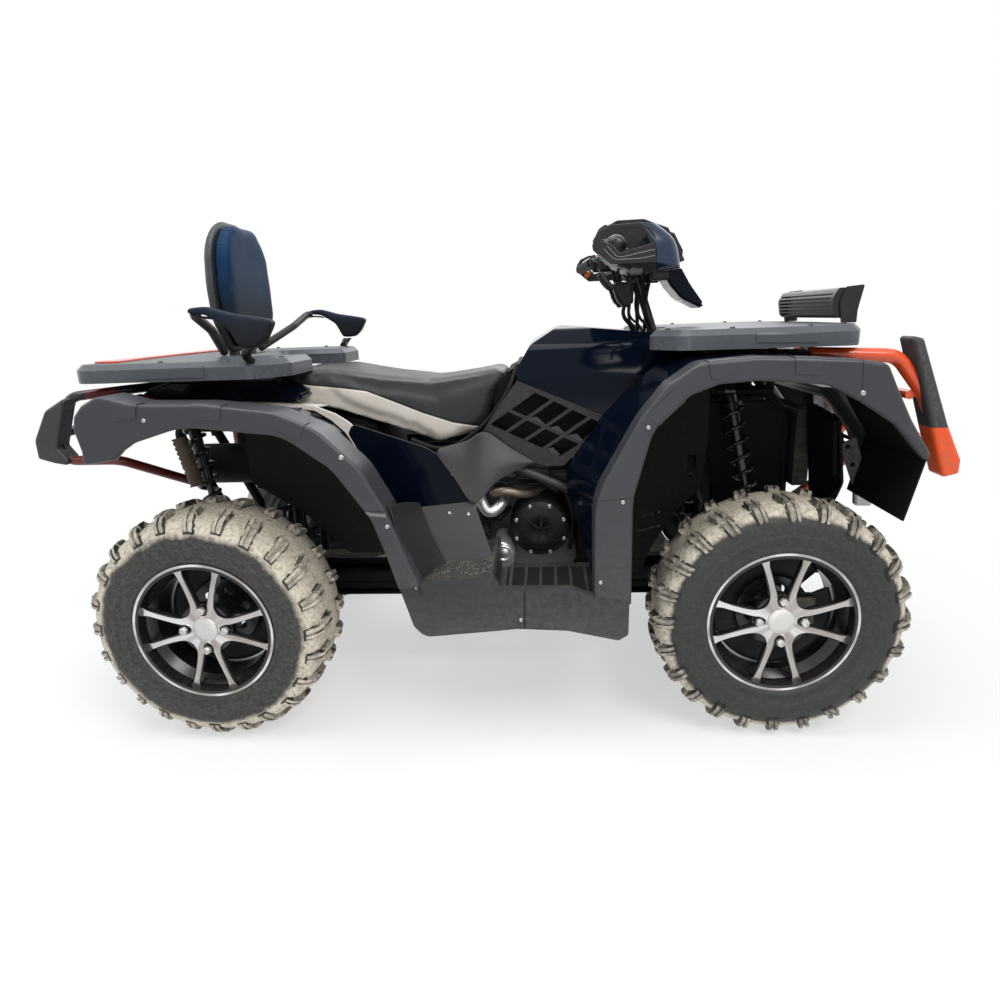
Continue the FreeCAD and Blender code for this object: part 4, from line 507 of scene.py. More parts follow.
def machinedRim(name, centre, side, plate=False):
    made, tree, shader, where = material(name)
    local = vectorMath(tree, "SUBTRACT", where, centre)
    x, _, z = split(tree, local)
    flatPlace = vectorOf(tree, {0: x, 1: z})
    radius = vectorMath(tree, "LENGTH", flatPlace)
    rings = noise(tree, vectorOf(tree, {0: radius}), 900.0, 2.0, 0.5)
    slow = ranged(tree, noise(tree, local, 12.0, 4.0), 0.3, 0.7)
    around = vectorMath(tree, "NORMALIZE", flatPlace)
    paintedSheen = ranged(tree, noise(tree, around, 1.9, 2.0), 0.36, 0.64)  # painted reflection: broad light and dark sectors round the turned face
    reflectedTone = blended(tree, plus(tree, times(tree, paintedSheen, 0.8), times(tree, slow, 0.2)), *rimSet["turned"])
    dust = use(tree, dustGroup, where, {"Amount": 0.14, "Low": 0.05, "High": 0.75})["Mask"]
    if plate:
        base, rough, height, metal = reflectedTone, plus(tree, times(tree, slow, 0.08), 0.22), rings, 1.0
    else:  # black rim, turned on its lip only
        normal = tree.nodes.new("ShaderNodeTexCoord").outputs["Normal"]
        out = times(tree, split(tree, normal)[1], float(side))
        metal = times(tree, ranged(tree, out, 0.8, 0.88), calc(tree, "GREATER_THAN", radius, rimSet["lipFrom"]))
        base = blended(tree, metal, (0.006, 0.006, 0.007, 1), reflectedTone)
        rough, height = plus(tree, times(tree, metal, 0.08), 0.22), times(tree, rings, metal)
    wired(tree, shader, {
        "Base Color": blended(tree, dust, base, rimSet["dust"]), "Metallic": metal,
        "Roughness": plus(tree, rough, times(tree, dust, 0.5), True), "Normal": bumped(tree, height, 0.12, 0.0004)})
    return made


def lens(name, colour, rough=0.05):
    made, tree, shader, where = material(name)
    lines = add(tree, "ShaderNodeTexWave", {"Vector": where, "Scale": 60.0}, bands_direction="Y").outputs["Fac"]
    cloudy = ranged(tree, noise(tree, where, 20.0), 0.3, 0.7)
    wired(tree, shader, {
        "Base Color": blended(tree, cloudy, colour, tuple(c * 0.8 for c in colour[:3]) + (1,)), "Roughness": rough,
        "Transmission Weight": 0.6, "IOR": 1.5, "Normal": bumped(tree, lines, 0.3, 0.001)})
    return made


guardSet = {"black": (0.046, 0.046, 0.048), "orange": (0.86, 0.1, 0.02), "edge": 0.772, "worn": (0.16, 0.15, 0.14, 1)}


def guardPaint(name):
    made, tree, shader, where = material(name)  # black above the edge, orange below it
    part = ranged(tree, split(tree, where)[2], guardSet["edge"] - 0.001, guardSet["edge"] + 0.001)
    grain = use(tree, grainGroup, where, {"Size": 330.0})
    wear = use(tree, wearGroup, where, {"Amount": 0.3})["Mask"]
    dust = use(tree, dustGroup, where, {"Amount": 0.1})["Mask"]
    base = blended(tree, part, guardSet["orange"] + (1,), guardSet["black"] + (1,))
    pale = tuple(c * 1.6 for c in guardSet["black"]) + (1,)
    base = blended(tree, wear, blended(tree, times(tree, grain["Shade"], 0.12), base, pale), guardSet["worn"])
    wired(tree, shader, {
        "Base Color": blended(tree, dust, base, dustColour), "Roughness": ranged(tree, part, 0.0, 1.0, 0.28, 0.55),
        "Specular IOR Level": 0.3, "Normal": bumped(tree, times(tree, grain["Height"], part), 0.8, 0.0009)})
    return made


def strutPaint(name):
    made, tree, shader, where = material(name)  # black tube, dark red at the clamp and along the lower strut
    x, _, z = split(tree, where)
    lower = times(tree, calc(tree, "LESS_THAN", z, 0.742), calc(tree, "GREATER_THAN", x, -1.125))
    clamp = calc(tree, "LESS_THAN", calc(tree, "ABSOLUTE", plus(tree, x, 1.03)), 0.03)
    dust = use(tree, dustGroup, where, {"Amount": 0.15})["Mask"]
    grain = use(tree, grainGroup, where, {"Size": 600.0})
    base = blended(tree, calc(tree, "MAXIMUM", lower, clamp), (0.006, 0.006, 0.007, 1), (0.125, 0.01, 0.007, 1))
    base = blended(tree, times(tree, grain["Shade"], 0.1), base, (0.05, 0.02, 0.02, 1))
    wired(tree, shader, {
        "Base Color": blended(tree, dust, base, dustColour), "Roughness": plus(tree, times(tree, dust, 0.5), 0.3),
        "Normal": bumped(tree, grain["Height"], 0.05, 0.0006)})
    return made


def finned(name, colour, pitch, rough=0.4):
    made, tree, shader, where = material(name)  # thin upright fins, with painted shade in the gaps between them, and dust
    lines = add(tree, "ShaderNodeTexWave", {"Vector": where, "Scale": pitch, "Distortion": 0.3},
                bands_direction="Y").outputs["Fac"]
    dust = use(tree, dustGroup, where, {"Amount": 0.5, "Low": 0.4, "High": 1.0})["Mask"]
    # painted shade: the gaps between the fins are a quarter as bright as the fins
    base = blended(tree, lines, tuple(c * 0.25 for c in colour) + (1,), colour + (1,))
    wired(tree, shader, {
        "Base Color": blended(tree, dust, base, dustColour), "Roughness": plus(tree, times(tree, dust, 0.4), rough),
        "Metallic": 0.5, "Normal": bumped(tree, lines, 0.7, 0.002)})
    return made


finishes.update({name: plastic(name, colour, changes) for name, (colour, changes) in plasticSet.items()})
finishes.update({
    "guardTone": guardPaint("guardTone"), "rearTone": strutPaint("rearTone"),
    "radiatorCore": finned("radiatorCore", (0.05, 0.05, 0.052), 130.0),
    "seatVinyl": vinyl("seatVinyl"), "padVinyl": vinyl("padVinyl", True),
    "clearLens": lens("clearLens", (0.85, 0.88, 0.92, 1)), "redLens": lens("redLens", (0.26, 0.01, 0.008, 1), 0.12),
    "amberLens": lens("amberLens", (0.9, 0.22, 0.02, 1), 0.12),
})

# nodes by finish; the others are satin black
finishNodes = {
    "flareGrey": "front_flares rear_flares", "footGrey": "footwells", "rackGrey": "front_rack rear_rack",
    "panelGrey": "backrest_shell rear_bumper_ends", "glossNavy": "cowl front_fender rear_fender rear_side_panels",
    "louvreBlack": "side_panels nose_mask handlebar_cover hand_guards light_bar", "creamPanel": "rear_trim",
    "linerBlack": "front_liners inner_guards skid_plate frame front_subframe rear_subframe muffler",
    "orangePaint": "front_bumper", "rearTone": "rear_bumper", "guardTone": "bumper_guards",
    "radiatorCore": "radiator", "engineGrey": "engine_case", "coverBlack": "engine_covers",
    "castIron": "drive_line knuckle_left knuckle_right rear_hub_carriers", "redLens": "tail_lights",
    "clearLens": "headlights", "rubberBlack": "grips", "springBlack": "front_shocks rear_shocks",
}
nodeFinish = {name: look for look, names in finishNodes.items() for name in names.split()}

wheels = {}
for end, x, y, width, film, tops, mud in (("front", 0.7475, 0.43, 0.21, 0.03, 0.25, (0.262, 0.292)),
                                          ("rear", -0.7075, 0.449, 0.25, 0.07, 0.55, (0.24, 0.286))):
    for hand, side in (("right", -1), ("left", 1)):
        wheels[end + "_" + hand] = {"body": "wheel_" + end + "_" + hand, "centre": (x, side * y, 0.317), "width": width,
                                    "side": side, "film": film, "tops": tops, "mud": mud}

for name, node in nodes.items():
    if name.startswith("rim_"):
        wheel = wheels[name[4:]]
        finished(node, machinedRim(name + "Finish", wheel["centre"], wheel["side"]))
    else:
        finished(node, nodeFinish.get(name, "satinBlack"))
print("finishes set")


def geometryTree(name, inputs):
    tree = bpy.data.node_groups.new(name, "GeometryNodeTree")
    for way in ("OUTPUT", "INPUT"):
        tree.interface.new_socket(name="Geometry", in_out=way, socket_type="NodeSocketGeometry")
    for label, kind, value in inputs + [("Finish", "Material", None)]:
        socket = tree.interface.new_socket(name=label, in_out="INPUT", socket_type="NodeSocket" + kind)
        if value is not None:
            socket.default_value = value
    return tree, tree.nodes.new("NodeGroupInput").outputs


def closeTree(tree, given, points, values):
    shape = add(tree, "GeometryNodeObjectInfo", {0: given["Piece"]}).outputs["Geometry"]
    copies = add(tree, "GeometryNodeInstanceOnPoints", {"Points": points, "Instance": shape, **values})
    real = add(tree, "GeometryNodeRealizeInstances", {0: copies.outputs[0]})
    coated = add(tree, "GeometryNodeSetMaterial", {"Geometry": real.outputs[0], "Material": given["Finish"]})
    add(tree, "NodeGroupOutput", {0: coated.outputs[0]})


# copies of a piece set round the Y axis through a centre
ringTree, given = geometryTree("ringAround", [
    ("Piece", "Object", None), ("Count", "Int", 24), ("Start", "Float", 0.0), ("Centre", "Vector", (0, 0, 0)),
    ("Unevenness", "Float", 0.0), ("Seed", "Int", 3)])
spots = add(ringTree, "GeometryNodePoints", {"Count": given["Count"], "Position": given["Centre"]}).outputs[0]
step = calc(ringTree, "DIVIDE", 2 * math.pi, given["Count"])
angle = plus(ringTree, times(ringTree, add(ringTree, "GeometryNodeInputIndex").outputs[0], step), given["Start"])
wobble = add(ringTree, "FunctionNodeRandomValue", {"Seed": given["Seed"]}, data_type="FLOAT").outputs[1]
scatter = times(ringTree, calc(ringTree, "SUBTRACT", wobble, 0.5), given["Unevenness"])
closeTree(ringTree, given, spots, {"Rotation": vectorOf(ringTree, {1: plus(ringTree, angle, scatter)})})

# copies of a piece on loose points, its Z axis along each point's own direction
spotTree, given = geometryTree("onSpots", [("Piece", "Object", None), ("Size", "Float", 1.0), ("Seed", "Int", 5)])
aim = add(spotTree, "GeometryNodeInputNamedAttribute", {"Name": "facing"}, data_type="FLOAT_VECTOR").outputs[0]
lean = add(spotTree, "FunctionNodeAlignRotationToVector", {"Vector": aim}, axis="Z").outputs[0]
spin = add(spotTree, "FunctionNodeRandomValue", {3: 6.28, "Seed": given["Seed"]}, data_type="FLOAT").outputs[1]
lean = add(spotTree, "FunctionNodeRotateRotation", {0: lean, 1: vectorOf(spotTree, {2: spin})}, rotation_space="LOCAL")
closeTree(spotTree, given, given["Geometry"], {"Scale": given["Size"], "Rotation": lean.outputs[0]})


def grown(name, carrier, tree, values):
    modifier = carrier.modifiers.new("made", "NODES")
    modifier.node_group = tree
    for item in tree.interface.items_tree:
        if item.in_out == "INPUT" and item.name in values:
            modifier[item.identifier] = values[item.name]
    carrier.name = name
    return baked(carrier)


def ringOf(name, pattern, count, centre, finish, start=0.0, unevenness=0.0, seed=3):
    carrier = link(bpy.data.objects.new(name, bpy.data.meshes.new(name)))
    return grown(name, carrier, ringTree, {"Piece": pattern, "Count": count, "Start": start, "Centre": centre,
                                           "Unevenness": unevenness, "Seed": seed, "Finish": paint(finish)})


def onSpots(name, pattern, spots, finish, size=1.0):
    mesh = bpy.data.meshes.new(name)
    mesh.from_pydata([tuple(place) for place, _ in spots], [], [])
    facing = mesh.attributes.new("facing", "FLOAT_VECTOR", "POINT")
    for item, (_, direction) in zip(facing.data, spots):
        item.vector = direction
    carrier = link(bpy.data.objects.new(name, mesh))
    return grown(name, carrier, spotTree, {"Piece": pattern, "Size": size, "Finish": paint(finish)})


def surface(*names):
    verts, faces = [], []
    for name in names:
        mesh = nodes[name].data
        offset = len(verts)
        verts += [v.co.copy() for v in mesh.vertices]
        faces += [tuple(i + offset for i in p.vertices) for p in mesh.polygons]
    return BVHTree.FromPolygons(verts, faces)


def onto(tree, start, direction):
    place, normal, _, _ = tree.ray_cast(Vector(start), Vector(direction))
    if place is None:
        return None
    if normal.dot(Vector(direction)) > 0:
        normal = -normal
    return place, normal


# round-headed bolt with a hex socket, along Z
def boltPattern(name, radius=0.0068, height=0.0042):
    profile = [(0.0, height * 0.55), (radius * 0.42, height * 0.55), (radius * 0.46, height), (radius * 0.75, height * 0.86),
               (radius * 0.95, height * 0.45), (radius, 0.0), (radius * 1.18, 0.0), (radius * 1.18, -0.0012), (0.0, -0.0012)]
    verts, faces, count, around = [], [], len(profile), 18
    for i in range(around):
        angle = 2 * math.pi * i / around
        for k, (r, z) in enumerate(profile):
            if k in (1, 2):
                r *= 1 + 0.1 * math.cos(6 * angle)
            verts.append((r * math.cos(angle), r * math.sin(angle), z))
    for i in range(around):
        for k in range(count - 1):
            a, b = i * count + k, i * count + k + 1
            c, d = ((i + 1) % around) * count + k + 1, ((i + 1) % around) * count + k
            faces.append((a, b, c, d))
    return meshPiece(name, verts, faces)


bolt = boltPattern("boltPattern")


# lugs: start and end along the half section, skew, half width, narrowing; cuts: the parts of each lug
tyreSet = {"long": (0.46, 0.95, 0.07, 0.0152, 0.1), "short": (0.485, 0.84, 0.03, 0.014, 0.0),
           "cuts": {"long": ((0.0, 0.37), (0.46, 1.0)), "short": ((0.0, 0.46), (0.58, 1.0))},
           "lugs": 12, "lugHeight": 0.02, "packed": 0.0055, "lumps": 0.002, "shoulder": 0.268, "around": 176}


def tyreLine(width):
    w = width / 2
    return [(0.1765, w * 0.8), (0.183, w * 0.865), (0.19, w * 0.89), (0.1935, w * 0.915), (0.1975, w * 0.918),
            (0.2005, w * 0.9), (0.212, w * 0.935), (0.2225, w * 0.958), (0.2245, w * 0.972), (0.2285, w * 0.974),
            (0.2305, w * 0.962), (0.24, w * 0.966), (0.252, w * 0.955), (0.262, w * 0.93), (0.2755, w * 0.87),
            (0.285, w * 0.78), (0.291, w * 0.66), (0.2945, w * 0.45), (0.2965, w * 0.2), (0.2965, 0.0)]


def along(line, share):
    points = [Vector(p) for p in line]
    lengths = [0.0]
    for a, b in zip(points, points[1:]):
        lengths.append(lengths[-1] + (b - a).length)
    want = share * lengths[-1]
    for i in range(len(points) - 1):
        if lengths[i + 1] >= want or i == len(points) - 2:
            part = (want - lengths[i]) / max(lengths[i + 1] - lengths[i], 1e-9)
            direction = (points[i + 1] - points[i]).normalized()
            return points[i].lerp(points[i + 1], part), Vector((-direction.y, direction.x)) * -1
    return points[-1], Vector((1, 0))


def lugPattern(name, width, side, lug, part, shadowSkirt=0.0):
    start, end, skew, spread, narrow = lug
    line, sunk = tyreLine(width), -0.006
    rows, verts, faces = (6 if part[1] > 0.6 else 4), [], []
    for i in range(rows):
        t = part[0] + (part[1] - part[0]) * i / (rows - 1)
        place, out = along(line, start + (end - start) * t)
        if out.x < 0 and out.y < 0:
            out = -out
        rise = tyreSet["lugHeight"] * min(1.0, 0.3 + 1.7 * t)
        if t > 0.93:
            rise *= 0.9
        centre = skew * (t - 0.35)
        half = spread * (0.74 + 0.26 * math.sin(min(1.0, t * 1.3) * math.pi / 2)) * (1 - narrow * max(0, t - 0.6))
        groove = rise - 0.005
        section = [(-1, sunk, 1.08), (-1, rise * 0.92, 0.99), (-0.91, rise, 1.0), (-0.3, rise, 1.0), (-0.22, groove, 1.0),
                   (0.22, groove, 1.0), (0.3, rise, 1.0), (0.91, rise, 1.0), (1, rise * 0.92, 0.99), (1, sunk, 1.08)]
        if shadowSkirt:  # painted shadow: a dark bare strip round the block, standing for the shade at its foot
            low = tyreSet["packed"] * min(1.0, 0.2 + 1.2 * t) + 0.0016
            section = [(-1, sunk, shadowSkirt), (-1, low, shadowSkirt), (1, low, shadowSkirt), (1, sunk, shadowSkirt)]
        for offset, lift, grow in section:
            radius, y = place.x + out.x * lift, place.y + out.y * lift
            angle = centre + offset * half * grow / radius
            verts.append((radius * math.cos(angle), side * y, radius * math.sin(angle)))
    count = len(section)
    for i in range(rows - 1):
        for k in range(count - 1):
            a = i * count + k
            faces.append((a, a + 1, a + 1 + count, a + count))
        faces.append((i * count + count - 1, i * count, i * count + count, i * count + 2 * count - 1))
    faces.append(tuple(range(count)))
    faces.append(tuple((rows - 1) * count + k for k in range(count)))
    return meshPiece(name, verts, faces, False)


def makeTyre(key, wheel):
    width, centre, name = wheel["width"], Vector(wheel["centre"]), "tyre_" + key
    look = tyreRubber(name + "Rubber", wheel["centre"], wheel["mud"], wheel["film"])
    blocks = tyreRubber(name + "Blocks", wheel["centre"], [r - 0.01 for r in wheel["mud"]], 0.1, wheel["tops"])
    # dark rubber skirts round the blocks: painted shadow at the foot of each block
    shadowSkirts = tyreRubber(name + "Gaps", wheel["centre"], (0.27, 0.31), 0.12, 0.05)
    inner = [(0.1765, -width * 0.4), (0.172, -width * 0.38), (0.172, width * 0.38)]
    shoulder = tyreSet["shoulder"]
    packed = [(r + tyreSet["packed"] * max(0.0, min(1.0, (r - shoulder) / 0.022)), y) for r, y in tyreLine(width)]
    profile = packed + [(r, -y) for r, y in reversed(packed[:-1])] + inner
    carcass = finished(lathe("carcass", profile, centre, tyreSet["around"], closed=True), look)
    for vertex in carcass.data.vertices:
        out = vertex.co - centre
        reach = math.hypot(out.x, out.z)
        if reach > shoulder:
            lump = ripple.noise(vertex.co * 34) * tyreSet["lumps"] * min(1.0, (reach - shoulder) / 0.02)
            vertex.co += Vector((out.x / reach, 0, out.z / reach)) * lump
    made, patterns = [carcass], []
    share = 2 * math.pi / tyreSet["lugs"]
    for side in (-1, 1):
        phase = 0.0 if side < 0 else share / 2
        for kind, offset in (("long", 0.0), ("short", share * 0.5)):
            outer, crown = tyreSet["cuts"][kind]
            for part, look, shadowSkirt in ((outer, blocks, 0.0), (crown, blocks, 0.0), ((-0.05, 1.03), shadowSkirts, 1.32)):
                pattern = lugPattern(kind + "Lug", width, side, tyreSet[kind], part, shadowSkirt)
                patterns.append(pattern)
                made.append(ringOf(kind + "Lugs", pattern, tyreSet["lugs"], centre, look, phase + offset, 0.012))
    tyre = joined("tyre_" + key + "_tread", made)
    for pattern in patterns:
        bpy.data.objects.remove(pattern)
    ride(tyre, wheel["body"])
    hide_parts("tyre_" + key)


def wheelFace(wheel, face):
    outline = []
    for quarter in range(4):
        turned = [(r, math.radians(90 * quarter - a)) for r, a in reversed(rimSet["quarter"][1:-1])]
        turned = [(rimSet["quarter"][-1][0], math.radians(90 * quarter - 45))] + turned
        turned += [(r, math.radians(90 * quarter + a)) for r, a in rimSet["quarter"][:-1]]
        outline += [(r * math.cos(a), r * math.sin(a)) for r, a in turned]
    plate = slab("turnedFace", outline, face - 0.0008, face + rimSet["plate"], 0.0007)
    centre, side = Vector(wheel["centre"]), wheel["side"]
    plate.data.transform(Matrix.Translation(centre) @ Matrix.Scale(side, 4, (0, 1, 0)))
    if side < 0:
        plate.data.flip_normals()
    return plate


shieldSet = {"seat": 0.092, "start": 44, "sweep": 340, "around": 44,
             "profile": ((0.078, -0.004), (0.11, -0.004), (0.14, -0.004), (0.149, 0.002))}


# dark shield behind the spokes, standing for the brake parts and, as painted shade, for the shadow seen through the
# wheel into the wheel well
def brakeShield(key, wheel):
    rim, centre, side = nodes["rim_" + key], Vector(wheel["centre"]), wheel["side"]
    inboard = min((v.co.y - centre.y) * side for v in rim.data.vertices
                  if abs(math.hypot(v.co.x - centre.x, v.co.z - centre.z) - shieldSet["seat"]) < 0.002)
    verts, faces, around = [], [], shieldSet["around"]
    for i in range(around + 1):
        angle = math.radians(shieldSet["start"] + shieldSet["sweep"] * i / around)
        for r, lift in shieldSet["profile"]:
            verts.append(centre + Vector((r * math.cos(angle), side * (inboard + lift), r * math.sin(angle))))
    for i in range(around):
        for k in range(3):
            a = i * 4 + k
            faces.append((a, a + 1, a + 5, a + 4))
    return finished(walled(meshPiece("shield", verts, faces), 0.0025), "coverBlack")


def makeWheelTrim(key, wheel):
    centre, side = Vector(wheel["centre"]), wheel["side"]
    skin = surface("rim_" + key)
    made = []
    nut = lathe("nut", [(0.0001, 0.0), (0.0085, 0.0), (0.0104, 0.0015), (0.0104, 0.011), (0.0086, 0.014), (0.0065, 0.0143),
                        (0.006, 0.01), (0.0001, 0.01)], segments=6, smooth=False)
    spots = []
    for i in range(4):
        angle = i * math.pi / 2
        start = centre + Vector((0.055 * math.cos(angle), side * 0.3, 0.055 * math.sin(angle)))
        hit = onto(skin, start, (0, -side, 0))
        if hit:
            spots.append((hit[0] - Vector((0, side * 0.001, 0)), Vector((0, side, 0))))
    nut.data.transform(Matrix.Rotation(math.radians(90), 4, "X"))
    made.append(onSpots("nuts", nut, spots, "castAluminium"))
    bpy.data.objects.remove(nut)
    spoke = onto(skin, centre + Vector((0.11 * math.cos(0.297), side * 0.3, 0.11 * math.sin(0.297))), (0, -side, 0))
    level = (spoke[0].y - centre.y) * side if spoke else 0.05
    made.append(finished(wheelFace(wheel, level), machinedRim("turnedFace_" + key, wheel["centre"], side, True)))
    # domed cap over the hub
    face = level + rimSet["plate"] - 0.001
    cap = lathe("cap", [(0.0001, face + 0.0068), (0.016, face + 0.0066), (0.029, face + 0.0056), (0.03, face + 0.0046),
                        (0.0312, face + 0.0048), (0.0328, face + 0.0036), (0.0336, face + 0.001), (0.0336, face - 0.008)],
                segments=56)
    cap.data.transform(Matrix.Translation(centre) @ Matrix.Scale(side, 4, (0, 1, 0)))
    if side < 0:
        cap.data.flip_normals()
    made.append(finished(cap, "castAluminium"))
    # valve stem through the barrel
    angle = math.radians(62)
    foot = centre + Vector((0.16 * math.cos(angle), side * 0.052, 0.16 * math.sin(angle)))
    stem = tube("stem", [foot, foot + Vector((-0.006 * math.cos(angle), side * 0.014, -0.006 * math.sin(angle))),
                         foot + Vector((-0.008 * math.cos(angle), side * 0.032, -0.008 * math.sin(angle)))], 0.0035)
    made.append(finished(stem, "rubberBlack"))
    trim = joined("wheel_trim_" + key, made)
    ride(trim, wheel["body"])
    carrier = "knuckle_" + key[6:] if key.startswith("front") else "vehicle"
    ride(joined("brake_shield_" + key, [brakeShield(key, wheel)]), carrier)


for key, wheel in wheels.items():
    makeTyre(key, wheel)
    makeWheelTrim(key, wheel)
print("tyres and wheel trim made")


padSet = {"roundFrom": 1.175, "roundPower": 2.3, "roundStep": 0.006, "backVoxel": 0.0045, "voxel": 0.006, "shrink": 0.004,
          "frames": 20, "smoothing": 12, "seatCap": 0.006, "padCap": 0.004,
          "cloth": {"use_pressure": True, "uniform_pressure_force": 4.0, "quality": 4, "tension_stiffness": 25,
                    "compression_stiffness": 25, "bending_stiffness": 6}}
seamPoints = [(-0.7, 0.93), (-0.626, 0.919), (-0.53, 0.904), (-0.402, 0.888), (-0.334, 0.877), (-0.247, 0.84),
              (-0.177, 0.809), (-0.093, 0.778), (-0.021, 0.764), (0.1, 0.7)]


def seamHeight(x):
    for (x0, z0), (x1, z1) in zip(seamPoints, seamPoints[1:]):
        if x <= x1:
            return z0 + (z1 - z0) * (x - x0) / (x1 - x0)
    return seamPoints[-1][1]


def merged(name, node, recalculated=False):
    mesh = nodes[node].data.copy()
    shape = bmesh.new()
    shape.from_mesh(mesh)
    bmesh.ops.remove_doubles(shape, verts=shape.verts, dist=1e-5)
    if recalculated:
        bmesh.ops.recalc_face_normals(shape, faces=shape.faces)
    shape.to_mesh(mesh)
    shape.free()
    return link(bpy.data.objects.new(name, mesh))


def seamed(piece, distance):
    line = piece.data.attributes.new("seamLine", "FLOAT", "POINT")
    for item, vertex in zip(line.data, piece.data.vertices):
        item.value = distance(*vertex.co)


def padOf(name, node, cap):
    pad = merged(name, node, True)
    changed(pad, "REMESH", mode="VOXEL", voxel_size=padSet["voxel"])
    changed(pad, "DISPLACE", strength=-padSet["shrink"], mid_level=0.0)
    pad = baked(pad)
    rest = [v.co.copy() for v in pad.data.vertices]
    cloth = changed(pad, "CLOTH")
    for key, value in padSet["cloth"].items():
        setattr(cloth.settings, key, value)
    cloth.settings.effector_weights.gravity = 0.0
    cloth.point_cache.frame_end = padSet["frames"]
    for number in range(1, padSet["frames"] + 1):
        bpy.context.scene.frame_set(number)
    pad = baked(pad)
    bpy.context.scene.frame_set(1)
    for vertex, start in zip(pad.data.vertices, rest):
        move = vertex.co - start
        if move.length > cap:
            vertex.co = start + move.normalized() * cap
    changed(pad, "SMOOTH", factor=0.5, iterations=padSet["smoothing"])
    return baked(pad)


def makeSeat():
    seat = padOf("seat_cover", "seat", padSet["seatCap"])
    seamed(seat, lambda x, y, z: 0.05 + (seamHeight(x) - z if abs(y) > 0.06 else -0.05))
    finished(seat, "seatVinyl")
    ride(seat, "vehicle")
    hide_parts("seat")


def rounderTop(piece, high):
    low, power, step = padSet["roundFrom"], padSet["roundPower"], padSet["roundStep"]
    upper = [v for v in piece.data.vertices if v.co.z > low and abs(v.co.y) < 0.2]  # the back, not the arms
    widest = {}
    for vertex in upper:
        row = round(vertex.co.z / step)
        widest[row] = max(widest.get(row, 0.0), abs(vertex.co.y))
    full = max(widest.values())
    for vertex in upper:
        t = min(1.0, (vertex.co.z - low) / (high - low))
        want = full * max(0.1, (1 - t ** power)) ** (1 / power)
        vertex.co.y = vertex.co.y * min(1.0, want / widest[round(vertex.co.z / step)])
    changed(piece, "SMOOTH", factor=0.5, iterations=5)
    return baked(piece)


def makeBackrest():
    back = merged("backrest_back", "backrest_shell")
    changed(back, "REMESH", mode="VOXEL", voxel_size=padSet["backVoxel"])
    back = rounderTop(baked(back), 1.362)
    for polygon in back.data.polygons:
        polygon.use_smooth = True
    ride(finished(back, "panelGrey"), "vehicle")
    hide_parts("backrest_shell")
    pads = rounderTop(padOf("backrest_cover", "backrest", padSet["padCap"]), 1.356)
    seamed(pads, lambda x, y, z: 0.05 - abs(x + 0.716) * 0.8 if z > 1.13 or abs(y) < 0.2 else 0.0)
    finished(pads, "padVinyl")
    ride(pads, "vehicle")
    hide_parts("backrest")


makeSeat()
makeBackrest()
print("seat and backrest padded")


boltSet = {
    "nodes": "front_flares rear_flares footwells rear_side_panels side_panels rear_rack front_rack cowl rear_trim "
             "front_fender rear_fender nose_mask engine_covers",
    "side": ((0.3506, 0.6404), (0.866, 0.88), (-0.2056, 0.5957), (-0.7588, 0.862), (-0.1171, 0.7199), (-0.077, 0.6643),
             (-0.036, 0.607), (-0.0896, 0.56), (-0.0377, 0.557), (0.1052, 0.3423), (0.3, 0.44), (-0.15, 0.43),
             (0.405, 0.815), (-0.3, 0.765)),
    "rack": ((0.48, 0.33), (0.62, 0.39), (0.8, 0.39), (0.9, 0.33), (-0.52, 0.3), (-0.62, 0.39), (-0.8, 0.39)),
}


def boltSpots(body, rays):
    hits = [onto(body, (x, side * y, z), (way[0], side * way[1], way[2]))
            for x, y, z, way in rays for side in (-1, 1)]
    return [hit for hit in hits if hit]


def makeBolts():
    body = surface(*boltSet["nodes"].split())
    spots = boltSpots(body, [(x, 0.9, z, (0, -1, 0)) for x, z in boltSet["side"]])
    ride(onSpots("body_bolts", bolt, spots, "zincSteel", 0.78), "vehicle")
    spots = boltSpots(body, [(x, y, 1.2, (0, 0, -1)) for x, y in boltSet["rack"]])
    ride(onSpots("rack_bolts", bolt, spots, "satinBlack"), "vehicle")


makeBolts()
print("bolts placed")


# bodywork that the frame leaves out: thin panels, piping and filler pieces

def sheetPiece(name, points, thickness):
    shape = bmesh.new()
    shape.faces.new([shape.verts.new(p) for p in points])
    bmesh.ops.triangulate(shape, faces=shape.faces)
    bmesh.ops.subdivide_edges(shape, edges=list(shape.edges), cuts=3, use_grid_fill=True)
    sheet = fromShape(name, shape)
    changed(sheet, "SMOOTH", factor=0.4, iterations=2)
    return walled(sheet, thickness, 0.0012)


def patchOn(name, tree, corners, side):
    low, right, top, left = (Vector((x, 0, z)) for x, z in corners)
    across, upward = 14, 6
    shape, rows = bmesh.new(), []
    for j in range(upward + 1):
        row = []
        for i in range(across + 1):
            u, v = i / across, j / upward
            spot = low.lerp(right, u).lerp(left.lerp(top, u), v)
            hit = onto(tree, (spot.x, side * 0.8, spot.z), (0, -side, 0))
            row.append(shape.verts.new(hit[0] + Vector((0, side * 0.0012, 0))) if hit else None)
        rows.append(row)
    for j in range(upward):
        for i in range(across):
            corner = [rows[j][i], rows[j][i + 1], rows[j + 1][i + 1], rows[j + 1][i]]
            if None not in corner and max(c.co.y for c in corner) - min(c.co.y for c in corner) < 0.03:
                shape.faces.new(corner)
    return walled(fromShape(name, shape), 0.0024, 0.0008)


def curvePoint(points, t):
    spans = len(points) - 1
    i = min(int(t * spans), spans - 1)
    u = t * spans - i
    p0, p1, p2, p3 = (Vector(points[max(0, min(spans, k))]) for k in (i - 1, i, i + 1, i + 2))
    return 0.5 * ((2 * p1) + (p2 - p0) * u + (2 * p0 - 5 * p1 + 4 * p2 - p3) * u * u + (3 * p1 - p0 - 3 * p2 + p3) * u ** 3)


